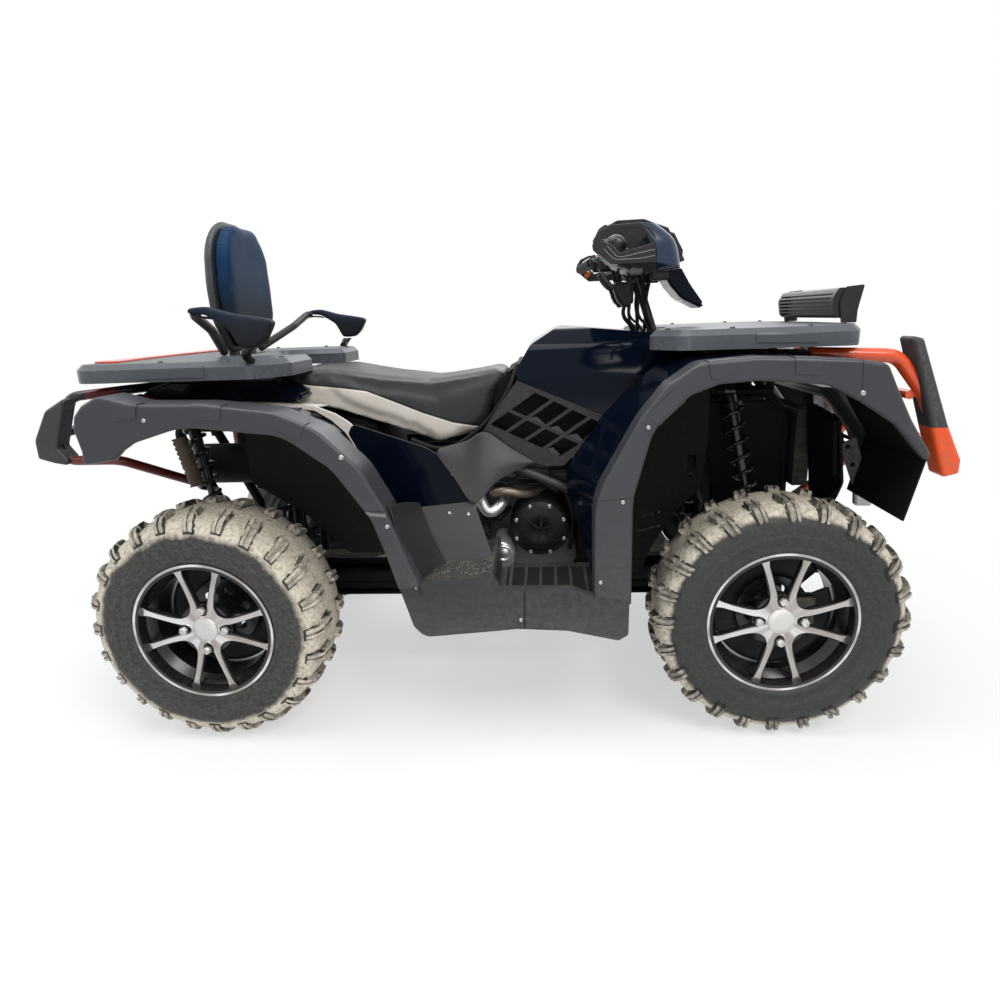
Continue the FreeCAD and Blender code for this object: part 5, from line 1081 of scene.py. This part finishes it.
def loftSheet(name, curves, thickness):
    across, along = 24, 12
    verts, faces = [], []
    for j in range(along + 1):
        for i in range(across + 1):
            lane = [curvePoint(curve, i / across) for curve in curves]
            verts.append(curvePoint(lane, j / along))
    for j in range(along):
        for i in range(across):
            a = j * (across + 1) + i
            faces.append((a, a + 1, a + across + 2, a + across + 1))
    return walled(meshPiece(name, verts, faces), thickness, 0.001)


panelSet = {
    "matte": [[(-0.109, -0.33, 0.735), (-0.0405, -0.3, 0.7489), (0.0081, -0.262, 0.7657), (0.0772, -0.254, 0.718),
               (0.141, -0.252, 0.6775)],
              [(-0.114, -0.334, 0.729), (-0.056, -0.322, 0.701), (0.0, -0.3, 0.675), (0.064, -0.28, 0.682),
               (0.14, -0.254, 0.6768)],
              [(-0.119, -0.333, 0.7236), (-0.074, -0.334, 0.658), (-0.022, -0.333, 0.585), (0.043, -0.296, 0.638),
               (0.139, -0.253, 0.6762)]],
    "heel": [[(-0.2, -0.557, 0.645), (-0.176, -0.559, 0.54), (-0.14, -0.55, 0.405)],
             [(-0.19, -0.452, 0.622), (-0.156, -0.474, 0.532), (-0.118, -0.492, 0.425)],
             [(-0.17, -0.345, 0.592), (-0.135, -0.388, 0.516), (-0.092, -0.424, 0.446)]],
    "piping": [(0.096, -0.17, 0.933), (0.086, -0.196, 0.895), (0.062, -0.202, 0.852), (0.02, -0.203, 0.796),
               (-0.02, -0.202, 0.758), (-0.065, -0.2, 0.726), (-0.11, -0.198, 0.709), (-0.155, -0.198, 0.712),
               (-0.21, -0.198, 0.738)],
    "vanes": [[(0.1232, 0.7997), (0.1501, 0.8016), (0.1764, 0.7757), (0.1513, 0.7779)],
              [(0.1847, 0.7721), (0.2065, 0.7749), (0.2281, 0.7524), (0.203, 0.7555)],
              [(0.2331, 0.7489), (0.2582, 0.7526), (0.2765, 0.7309), (0.2497, 0.7315)],
              [(0.1046, 0.7278), (0.1368, 0.7288), (0.1584, 0.706), (0.1313, 0.7083)],
              [(0.1738, 0.7134), (0.1924, 0.7156), (0.2141, 0.6936), (0.1904, 0.6967)]],
    "tank": [(0.0, 0.69), (0.3, 0.69), (0.385, 0.8), (0.385, 0.95), (0.1, 0.95), (-0.008, 0.752)],
    "firewall": [(0.262, 0.3), (0.3, 0.3), (0.4, 0.7), (0.4, 0.8), (0.33, 0.8), (0.262, 0.69)],
    "wellBox": [(0.66, 0.47), (0.85, 0.47), (0.85, 0.78), (0.79, 0.82), (0.56, 0.82), (0.64, 0.64)],
    "wall": [(0.3, 0.33), (0.405, 0.33), (0.425, 0.56), (0.52, 0.67), (0.6, 0.72), (0.56, 0.9), (0.4, 0.9),
             (0.3, 0.6)],
    "tail": [(-0.95, 0.87), (-0.5, 0.862), (-0.48, 0.885), (-0.56, 0.925), (-0.85, 0.93), (-0.93, 0.905)],
    "seatNose": [(0.02, 0.8), (0.104, 0.8), (0.122, 0.925), (0.104, 0.936), (0.056, 0.912), (0.036, 0.862)],
    "rearBox": [(-0.7, 0.6), (-0.33, 0.56), (-0.25, 0.64), (-0.33, 0.79), (-0.74, 0.85)],
    "housings": (("tank", "linerBlack", -0.185, 0.185, 0.012, 3), ("firewall", "linerBlack", -0.225, 0.225, 0.006),
                 ("wellBox", "linerBlack", -0.13, 0.13, 0.008), ("wall", "linerBlack", -0.236, -0.228, 0.002),
                 ("wall", "linerBlack", 0.228, 0.236, 0.002), ("rearBox", "linerBlack", -0.19, 0.19, 0.012),
                 ("seatNose", "linerBlack", -0.172, 0.172, 0.01), ("tail", "glossNavy", -0.275, 0.275, 0.01, 3)),
}


def bothSides(name, piece, finish, body="vehicle"):
    finished(piece, finish)
    twin = mirrored(piece)
    return ride(joined(name, [piece, twin]), body)


def makePanels():
    bothSides("matte_panels", loftSheet("mattePanel", panelSet["matte"], 0.004), "panelGrey")
    bothSides("heel_guards", loftSheet("heelGuard", panelSet["heel"], 0.004), "footGrey")
    inner = tube("piping", panelSet["piping"], 0.007)
    outer = tube("piping", [(x + 0.012, y + 0.004, z - 0.006) for x, y, z in panelSet["piping"][:6]], 0.0065)
    bothSides("seat_piping", joined("piping", [inner, outer]), "rubberBlack", "vehicle")
    # grey wedges in the louvre cells, paler than the louvre: painted highlight on the lit faces of its vanes
    vanes = [slab("vane", outline, -0.2475, -0.238, 0.001) for outline in panelSet["vanes"]]
    bothSides("louvre_vanes", joined("vanes", vanes), "panelGrey")
    # the black filler blocks (all but the navy tail) close the gaps seen through the body; their black is painted shade
    # for the shadowed inside of the body
    pieces = [finished(slab(name, panelSet[name], *rest), look) for name, look, *rest in panelSet["housings"]]
    ride(joined("inner_housings", pieces), "vehicle")
    hit = onto(surface("footwells"), (0.2, -0.35, 0.6), (0, 0, -1))
    level = min(hit[0].z, 0.396) if hit else 0.36
    # black rubber mat on the tray floor, kept black for the rubber and, as painted shade, for the shadowed footwell
    # between the legs
    mat = softBlock("mat", (0.062, -0.492, level - 0.001), (0.35, -0.302, level + 0.003), 0.001, 1)
    bothSides("tray_mats", mat, "rubberBlack", "vehicle")


makePanels()


# engine bay

engineSet = {
    "coverCentre": (0.153, 0.479), "coverRadius": 0.084, "coverFace": -0.246, "coverFoot": -0.148, "coverBolts": 8,
    "ribTurns": (0.35, 1.4, 2.45),
    "boss": [(0.019, 0.446), (0.036, 0.46), (0.064, 0.451), (0.082, 0.42), (0.072, 0.386), (0.08, 0.325), (0.036, 0.31),
             (0.03, 0.4)],
    "bossRing": [(0.0001, -0.29), (0.013, -0.29), (0.014, -0.288), (0.017, -0.288), (0.019, -0.293), (0.022, -0.293),
                 (0.0235, -0.284)],
    # intake elbow, header pipe over the cover, loom tube above them, then the hoses
    "tubes": (
        ("castAluminium", 0.0165, [(-0.03, -0.15, 0.6), (-0.024, -0.205, 0.588), (-0.012, -0.238, 0.56), (0.004, -0.242, 0.532),
                                   (0.028, -0.235, 0.533), (0.05, -0.215, 0.556), (0.06, -0.15, 0.566)]),
        ("headerPipe", 0.0115, [(0.015, -0.14, 0.56), (0.018, -0.225, 0.58), (0.045, -0.24, 0.594), (0.075, -0.238, 0.59),
                                (0.105, -0.228, 0.577), (0.14, -0.18, 0.57), (0.165, -0.11, 0.56)]),
        ("panelGrey", 0.0125, [(0.04, -0.13, 0.69), (0.045, -0.205, 0.68), (0.08, -0.236, 0.664), (0.15, -0.24, 0.634),
                               (0.225, -0.236, 0.598), (0.285, -0.215, 0.568), (0.31, -0.15, 0.56)]),
        ("rubberBlack", 0.0062, [(-0.045, -0.12, 0.64), (-0.03, -0.19, 0.646), (0.01, -0.225, 0.628), (0.06, -0.228, 0.622),
                                 (0.11, -0.215, 0.612), (0.15, -0.15, 0.6)]),
        ("rubberBlack", 0.005, [(-0.06, -0.12, 0.61), (-0.04, -0.2, 0.618), (0.005, -0.222, 0.6), (0.05, -0.2, 0.604)]),
        ("rubberBlack", 0.007, [(-0.06, -0.11, 0.56), (-0.05, -0.2, 0.52), (-0.02, -0.23, 0.48), (0.01, -0.225, 0.452)]),
        ("rubberBlack", 0.0075, [(0.19, -0.12, 0.62), (0.215, -0.19, 0.6), (0.245, -0.205, 0.54), (0.25, -0.19, 0.44),
                                 (0.24, -0.12, 0.38)]),
        ("rubberBlack", 0.009, [(-0.01, -0.11, 0.5), (0.01, -0.19, 0.496), (0.045, -0.196, 0.5), (0.06, -0.15, 0.52)]),
    ),
    "blocks": (("castAluminium", (-0.075, -0.215, 0.47), (-0.03, -0.11, 0.545)),
               ("engineGrey", (-0.05, -0.18, 0.4), (0.0, -0.11, 0.47)),
               ("engineGrey", (0.02, -0.21, 0.606), (0.085, -0.11, 0.64)),
               ("coverBlack", (0.18, -0.2, 0.585), (0.24, -0.11, 0.64))),
}


def makeEngineBay():
    (x, z), r, count = engineSet["coverCentre"], engineSet["coverRadius"], engineSet["coverBolts"]
    face, foot = engineSet["coverFace"], engineSet["coverFoot"]
    cover = [(0.0001, face + 0.004), (r * 0.2, face + 0.004), (r * 0.24, face + 0.001), (r * 0.78, face),
             (r * 0.82, face + 0.003), (r * 0.9, face + 0.004), (r * 0.96, face + 0.01), (r, face + 0.02),
             (r, foot - 0.02), (r * 1.05, foot - 0.018), (r * 1.06, foot - 0.006), (r * 1.04, foot)]
    made = [finished(lathe("cover", cover, (x, 0, z)), "coverBlack")]
    spots = []
    for i in range(count):
        angle = 2 * math.pi * (i + 0.5) / count
        spots.append(((x + r * 0.86 * math.cos(angle), face + 0.0032, z + r * 0.86 * math.sin(angle)), (0, -1, 0)))
    made.append(onSpots("coverBolts", bolt, spots, "zincSteel", 0.8))
    rib = [(-r * 0.7, -0.003), (r * 0.7, -0.003), (r * 0.7, 0.003), (-r * 0.7, 0.003)]
    for turnBy in engineSet["ribTurns"]:
        c, s = math.cos(turnBy), math.sin(turnBy)
        bar = slab("rib", [(x + a * c - b * s, z + a * s + b * c) for a, b in rib], face - 0.003, face + 0.004, 0.001)
        made.append(finished(bar, "coverBlack"))
    made.append(finished(slab("boss", engineSet["boss"], -0.286, -0.15, 0.006, 3), "castAluminium"))
    made.append(finished(lathe("bossRing", engineSet["bossRing"], (0.051, 0, 0.424), 40), "castAluminium"))
    for look, radius, points in engineSet["tubes"]:
        made.append(finished(tube("pipe", points, radius), look))
    for look, low, high in engineSet["blocks"]:
        made.append(finished(softBlock("casting", low, high, 0.006), look))
    ride(joined("engine_detail", made), "vehicle")


makeEngineBay()
print("panels and engine bay made")


# racks, flares and footwells

trimSet = {
    "insert": [(-1.022, -0.345, 0.9865), (-0.94, -0.352, 0.9865), (-0.962, -0.18, 0.9865), (-0.972, 0.0, 0.9865),
               (-0.962, 0.18, 0.9865), (-0.94, 0.352, 0.9865), (-1.022, 0.345, 0.9865), (-1.012, 0.0, 0.9865)],
    "frontRack": [[(0.668, 0.9885), (0.81, 0.984), (0.81, 1.012), (0.668, 1.016)]],
    "rearRack": [[(-0.852, 0.945), (-0.675, 0.945), (-0.675, 0.975), (-0.852, 0.975)]],
    "frontFlare": [[(0.628, 0.893), (0.695, 0.9), (0.694, 0.94), (0.63, 0.932)],
                   [(0.783, 0.9), (0.85, 0.896), (0.85, 0.934), (0.785, 0.938)]],
    "skirtSeam": [[(0.1125, 0.299), (0.1147, 0.299), (0.1171, 0.419), (0.1149, 0.419)]],
    # painted highlight along the seam across the rear flare legs
    "legHighlight": [[(-0.268, 0.6265), (-0.172, 0.615), (-0.172, 0.6235), (-0.268, 0.635)]],
}


def makeTrim():
    made = []
    for skinName, key, look in (("front_rack", "frontRack", "rackGrey"), ("rear_rack", "rearRack", "rackGrey"),
                                ("rear_flares", "legHighlight", "paleBand"), ("footwells", "skirtSeam", "rubberBlack")):
        skin = surface(skinName)
        for corners in trimSet[key]:
            for side in (-1, 1):
                patch = patchOn("patch", skin, corners, side)
                made.append(finished(patch, look))
    ride(joined("side_trim", made), "vehicle")
    # orange insert set flat across the rear of the rack
    insert = sheetPiece("insert", trimSet["insert"], 0.006)
    ride(joined("rack_insert", [finished(insert, "orangePaint")]), "vehicle")


makeTrim()


# nose: dark shroud between the mudguards, with a drilled strap and the ribbed plate behind the lamps

noseSet = {
    "wing": [(0.915, -0.33, 0.8), (0.93, -0.33, 0.64), (0.955, -0.3, 0.6), (0.965, -0.175, 0.48), (0.925, -0.16, 0.48),
             (0.89, -0.16, 0.83)],
    "strap": [(0.944, 0.712), (0.985, 0.732), (1.035, 0.597), (1.006, 0.56)],
    "block": [(0.994, 0.597), (1.036, 0.597), (1.042, 0.545), (0.999, 0.546)],
    "ribs": 9,
    "rib": [(0.918, 0.64), (0.93, 0.64), (0.918, 0.78), (0.906, 0.78)],
    "eye": [(0.0001, -0.2735), (0.0045, -0.2735), (0.0055, -0.2745), (0.0062, -0.272)],
}


def makeNose():
    made = [sheetPiece("wing", noseSet["wing"], 0.005)]
    for i in range(noseSet["ribs"]):
        y = -0.175 - 0.017 * i
        made.append(slab("rib", noseSet["rib"], y - 0.0025, y + 0.0025, 0.001))
    for piece in made:
        finished(piece, "linerBlack")
    bothSides("nose_shrouds", joined("shroud", made), "linerBlack")
    made = [finished(slab("strap", noseSet["strap"], -0.272, -0.268, 0.001), "zincDusty"),
            finished(slab("foot", noseSet["block"], -0.28, -0.258, 0.003), "paleDust")]
    for i in range(3):
        made.append(finished(lathe("eye", noseSet["eye"], (0.966 + 0.018 * i, 0, 0.706 - 0.048 * i), 20), "linerBlack"))
    straps = joined("strap", made)
    twin = mirrored(straps)
    ride(joined("nose_straps", [straps, twin]), "vehicle")


makeNose()
print("racks, flares and nose trimmed")


# handlebar: guards with a side window and a gloss front, cover, levers, cables along the stem

handSet = {
    "side": [(0.289, 1.207), (0.287, 1.217), (0.291, 1.233), (0.302, 1.249), (0.33, 1.2605), (0.395, 1.2635), (0.418, 1.252),
             (0.43, 1.235), (0.4335, 1.205), (0.434, 1.176), (0.331, 1.1755), (0.313, 1.19), (0.302, 1.2)],
    "window": [(0.306, 1.228), (0.31, 1.241), (0.332, 1.2535), (0.39, 1.2525), (0.406, 1.245), (0.4205, 1.217), (0.35, 1.2),
               (0.33, 1.22)],
    "top": [(0.395, -0.412, 1.2635), (0.432, -0.385, 1.262), (0.444, -0.3, 1.262), (0.44, -0.12, 1.256)],
    "middle": [(0.4305, -0.414, 1.215), (0.474, -0.388, 1.224), (0.484, -0.3, 1.224), (0.47, -0.12, 1.22)],
    "bottom": [(0.434, -0.413, 1.176), (0.488, -0.388, 1.166), (0.499, -0.3, 1.166), (0.482, -0.12, 1.172)],
    # pale lines along the guard side: painted highlights on its creases
    "lines": [[(0.321, 1.216), (0.342, 1.193), (0.353, 1.19), (0.39, 1.197), (0.4285, 1.204)],
              [(0.313, 1.21), (0.338, 1.185), (0.398, 1.186), (0.43, 1.191)]],
    "cover": [(0.318, 1.262), (0.334, 1.29), (0.376, 1.307), (0.449, 1.308), (0.524, 1.28), (0.56, 1.214), (0.557, 1.186),
              (0.52, 1.174), (0.43, 1.17), (0.367, 1.2)],
    "blade": [(0.508, 1.18), (0.556, 1.186), (0.584, 1.138), (0.624, 1.084), (0.62, 1.07), (0.56, 1.1), (0.524, 1.14)],
    "pod": [(0.367, 1.15), (0.372, 1.118), (0.388, 1.088), (0.405, 1.076), (0.424, 1.084), (0.428, 1.11), (0.423, 1.15)],
    "glass": [(0.3255, 1.268), (0.337, 1.2885), (0.356, 1.2975), (0.348, 1.3045), (0.329, 1.2935), (0.318, 1.271)],
    "brow": [(0.34, 1.291), (0.376, 1.31), (0.449, 1.311), (0.47, 1.303), (0.44, 1.306), (0.38, 1.304)],
    "coverParts": (("cover", "louvreBlack", 0.11, 0.012, 4), ("blade", "glossNavy", 0.066, 0.006, 3),
                   ("glass", "lampDark", 0.062, 0.002, 2), ("brow", "skyNavy", 0.085, 0.002, 2)),
    "tubes": (("lever", "zincDusty", 0.0055, [(0.392, 0.18, 1.206), (0.412, 0.225, 1.207), (0.41, 0.3, 1.203),
                                              (0.392, 0.35, 1.198), (0.382, 0.388, 1.196)]),
              ("bracket", "panelGrey", 0.0062, [(0.337, 0.06, 1.178), (0.352, 0.062, 1.15), (0.383, 0.062, 1.128),
                                                (0.41, 0.06, 1.142), (0.44, 0.05, 1.16)])),
    # each block: from and to along X, middle and half width across, from and to in height
    "blocks": (("perch", "satinBlack", (0.345, 0.402), (0.19, 0.018), (1.192, 1.232), 0.007),
               ("switches", "coverBlack", (0.326, 0.368), (0.248, 0.022), (1.196, 1.243), 0.008),
               ("button", "redPaint", (0.33, 0.342), (0.24, 0.006), (1.24, 1.249), 0.002),
               ("clamp", "zincDusty", (0.412, 0.446), (0.1, 0.012), (1.166, 1.186), 0.004),
               ("coupler", "coverBlack", (0.47, 0.52), (0.075, 0.018), (1.15, 1.176), 0.004)),
    "turned": (("throttle", "satinBlack", [(0.0001, -0.026), (0.014, -0.026), (0.022, -0.02), (0.0255, -0.008),
                                           (0.0255, 0.008), (0.022, 0.018), (0.012, 0.024), (0.0001, 0.024)],
                (0.352, 0.292, 1.226), 40),
               ("reflector", "amberLens", [(0.0001, -0.006), (0.009, -0.006), (0.0115, -0.004), (0.012, 0.004),
                                           (0.0001, 0.004)], (0.325, 0.398, 1.2), 32)),
    "cables": 9, "cableSpread": 0.028, "cableRadii": (0.0042, 0.0055, 0.0035),
}


def windowPlate(name, outer, inner, y, thickness):
    shape = bmesh.new()
    edges = []
    for loop in (outer, inner):
        verts = [shape.verts.new((x, y, z)) for x, z in loop]
        edges += [shape.edges.new((verts[i], verts[(i + 1) % len(verts)])) for i in range(len(verts))]
    bmesh.ops.triangle_fill(shape, edges=edges, use_beauty=True)
    bmesh.ops.recalc_face_normals(shape, faces=shape.faces)
    return walled(fromShape(name, shape), thickness, 0.0012)


def makeHandlebar():
    side = finished(windowPlate("side", handSet["side"], handSet["window"], -0.4115, 0.0035), "louvreBlack")
    # the guard front and the cover's brow take a painted sky reflection
    front = finished(loftSheet("front", [handSet["top"], handSet["middle"], handSet["bottom"]], 0.0035), "skyNavy")
    made = [side, front]
    for line in handSet["lines"]:
        made.append(finished(tube("line", [(x, -0.414, z) for x, z in line], 0.0011, 4, 2), "paleBand"))
    guard = joined("guard", made)
    twin = mirrored(guard)
    guards = ride(joined("hand_guard_shells", [guard, twin]), "handlebar")
    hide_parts("hand_guards")

    made = []
    for name, look, half, bevel, segments in handSet["coverParts"]:
        made.append(finished(slab(name, handSet[name], -half, half, bevel, segments), look))
    cover = ride(joined("bar_cover", made), "handlebar")
    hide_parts("handlebar_cover")

    made = []
    for side in (-1, 1):
        for name, look, radius, line in handSet["tubes"]:
            made.append(finished(tube(name, [(x, side * y, z) for x, y, z in line], radius), look))
        for name, look, (x0, x1), (y, half), (z0, z1), bevel in handSet["blocks"]:
            made.append(finished(softBlock(name, (x0, side * y - half, z0), (x1, side * y + half, z1), bevel), look))
        for name, look, profile, (x, y, z), segments in handSet["turned"]:
            made.append(finished(lathe(name, profile, (x, side * y, z), segments), look))
        pod = slab("canister", handSet["pod"], side * 0.058 - 0.02, side * 0.058 + 0.02, 0.008, 3)
        made.append(finished(pod, "coverBlack"))
    # cables leave the cover, gather along the stem and go down into the cowl
    low, r, count = Vector((0.464, 0.0, 0.99)), handSet["cableSpread"], handSet["cables"]
    for i in range(count):
        angle = 2 * math.pi * i / count + 0.3
        start = Vector((0.43 + 0.055 * math.cos(angle), 0.06 * math.sin(angle), 1.186))
        middle = Vector((0.44 + 0.03 * math.cos(angle + 0.4), r * 1.25 * math.sin(angle + 0.4), 1.1))
        foot = low + Vector((r * math.cos(angle + 0.9), r * math.sin(angle + 0.9), 0))
        bulge = middle + Vector((0.012 * math.cos(angle), 0, -0.045))
        line = [start, start - Vector((0, 0, 0.025)), middle, bulge, foot + Vector((-0.004, 0, 0.035)), foot]
        made.append(finished(tube("cable", line, handSet["cableRadii"][i % 3]), "rubberBlack"))
    ride(joined("bar_controls", made), "handlebar")


makeHandlebar()
print("handlebar made")


# shock bellows

bellowsSet = {"top": (-0.838, -0.298, 0.775), "bottom": (-0.805, -0.298, 0.64), "radius": 0.021, "ribs": 10}


def makeBellows():
    top, bottom = Vector(bellowsSet["top"]), Vector(bellowsSet["bottom"])
    length, folds, radius = (top - bottom).length, bellowsSet["ribs"] * 2, bellowsSet["radius"]
    profile = [(radius * (0.8 if i % 2 else 1.0), length * i / folds) for i in range(folds + 1)]
    piece = lathe("bellows", [(0.0001, 0.0)] + profile + [(0.0001, length)], segments=28)
    turn = (top - bottom).to_track_quat("Y", "Z").to_matrix().to_4x4()
    piece.data.transform(Matrix.Translation(bottom) @ turn)
    bothSides("rear_shock_bellows", piece, "bellowsTan", "vehicle")


makeBellows()


# light bar optics

opticSet = {"columns": 9, "rows": 2, "radius": 0.017}


def makeOptics():
    low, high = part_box("light_bar")
    radius = opticSet["radius"]
    cup = lathe("cup", [(0.0001, 0.0), (0.005, 0.0), (0.0058, 0.0012), (radius, 0.008), (radius * 1.06, 0.008),
                        (radius * 1.06, 0.0)], segments=20)
    cup.data.transform(Matrix.Rotation(math.radians(90), 4, "X"))
    spots = [((high.x - 0.006, -0.168 + 0.042 * i, 1.058 + 0.036 * j), (1, 0, 0))
             for i in range(opticSet["columns"]) for j in range(opticSet["rows"])]
    piece = onSpots("lamp_optics", cup, spots, "chrome")
    bpy.data.objects.remove(cup)
    ride(piece, "vehicle")


makeOptics()


# clods of mud and dry leaves on the heel shelves

clodSet = {
    "count": 170, "area": ((-0.13, -0.53), (0.036, -0.4)),
    "sizes": ((0.0072, "mudCrumb", 0.22), (0.0048, "mudCrumb", 0.45), (0.003, "leafBits", 0.5)),
    "corners": [(0, 0, 0.7), (0.9, 0.1, 0.1), (0.2, 0.8, 0.0), (-0.8, 0.4, 0.1), (-0.6, -0.7, 0.0), (0.4, -0.9, 0.1),
                (0, 0, -0.4)],
    "faces": [(0, 1, 2), (0, 2, 3), (0, 3, 4), (0, 4, 5), (0, 5, 1), (6, 2, 1), (6, 3, 2), (6, 4, 3), (6, 5, 4), (6, 1, 5)],
}


def makeClods():
    rand = random.Random(4)
    tray = surface("footwells")
    clod = meshPiece("clod", clodSet["corners"], clodSet["faces"], False)
    (x0, y0), (x1, y1) = clodSet["area"]
    made = []
    for size, look, share in clodSet["sizes"]:
        spots = []
        for _ in range(int(clodSet["count"] * share) * 2):
            x, y = rand.uniform(x0, x1), rand.uniform(y0, y1)
            side = rand.choice((-1, 1))
            hit = onto(tray, (x, -side * y, 0.52), (0, 0, -1))
            if hit and hit[1].z > 0.6 and hit[0].z > 0.4 and ripple.noise(Vector((x, y, side)) * 38) > -0.08:
                spots.append((hit[0], hit[1] + Vector((rand.uniform(-0.4, 0.4), rand.uniform(-0.4, 0.4), 0))))
        if spots:
            made.append(onSpots("crumbs", clod, spots, look, size))
    bpy.data.objects.remove(clod)
    if made:
        ride(joined("heel_mud", made), "vehicle")


makeClods()
print("bellows, optics and mud made")


floorSet = {"near": 0.9, "far": 2.4, "shown": 0.55, "reach": 14.0}


def makeFloor():
    made, tree, shader, where = material("studioFloor")
    slow = noise(tree, where, 1.5, 2.0)
    wired(tree, shader, {"Base Color": blended(tree, slow, (0.93, 0.93, 0.93, 1), (0.95, 0.95, 0.95, 1)),
                         "Roughness": 0.9, "Specular IOR Level": 0.1})
    apart = vectorMath(tree, "LENGTH", where)
    share = ranged(tree, apart, floorSet["near"], floorSet["far"], floorSet["shown"], 1.0)
    white = add(tree, "ShaderNodeEmission", {"Color": (1, 1, 1, 1), "Strength": 1.0})
    mix = add(tree, "ShaderNodeMixShader", {0: times(tree, share, seenRay(tree)), 1: shader.outputs[0],
                                            2: white.outputs[0]})
    wired(tree, tree.nodes["Material Output"], {"Surface": mix.outputs[0]})
    reach = floorSet["reach"]
    floor = meshPiece("floor", [(-reach, -reach, 0), (reach, -reach, 0), (reach, reach, 0), (-reach, reach, 0)],
                      [(0, 1, 2, 3)])
    if floor.data.polygons[0].normal.z < 0:
        floor.data.flip_normals()
    finished(floor, made)


makeFloor()

bpy.data.objects.remove(bolt)
print("scene ready")
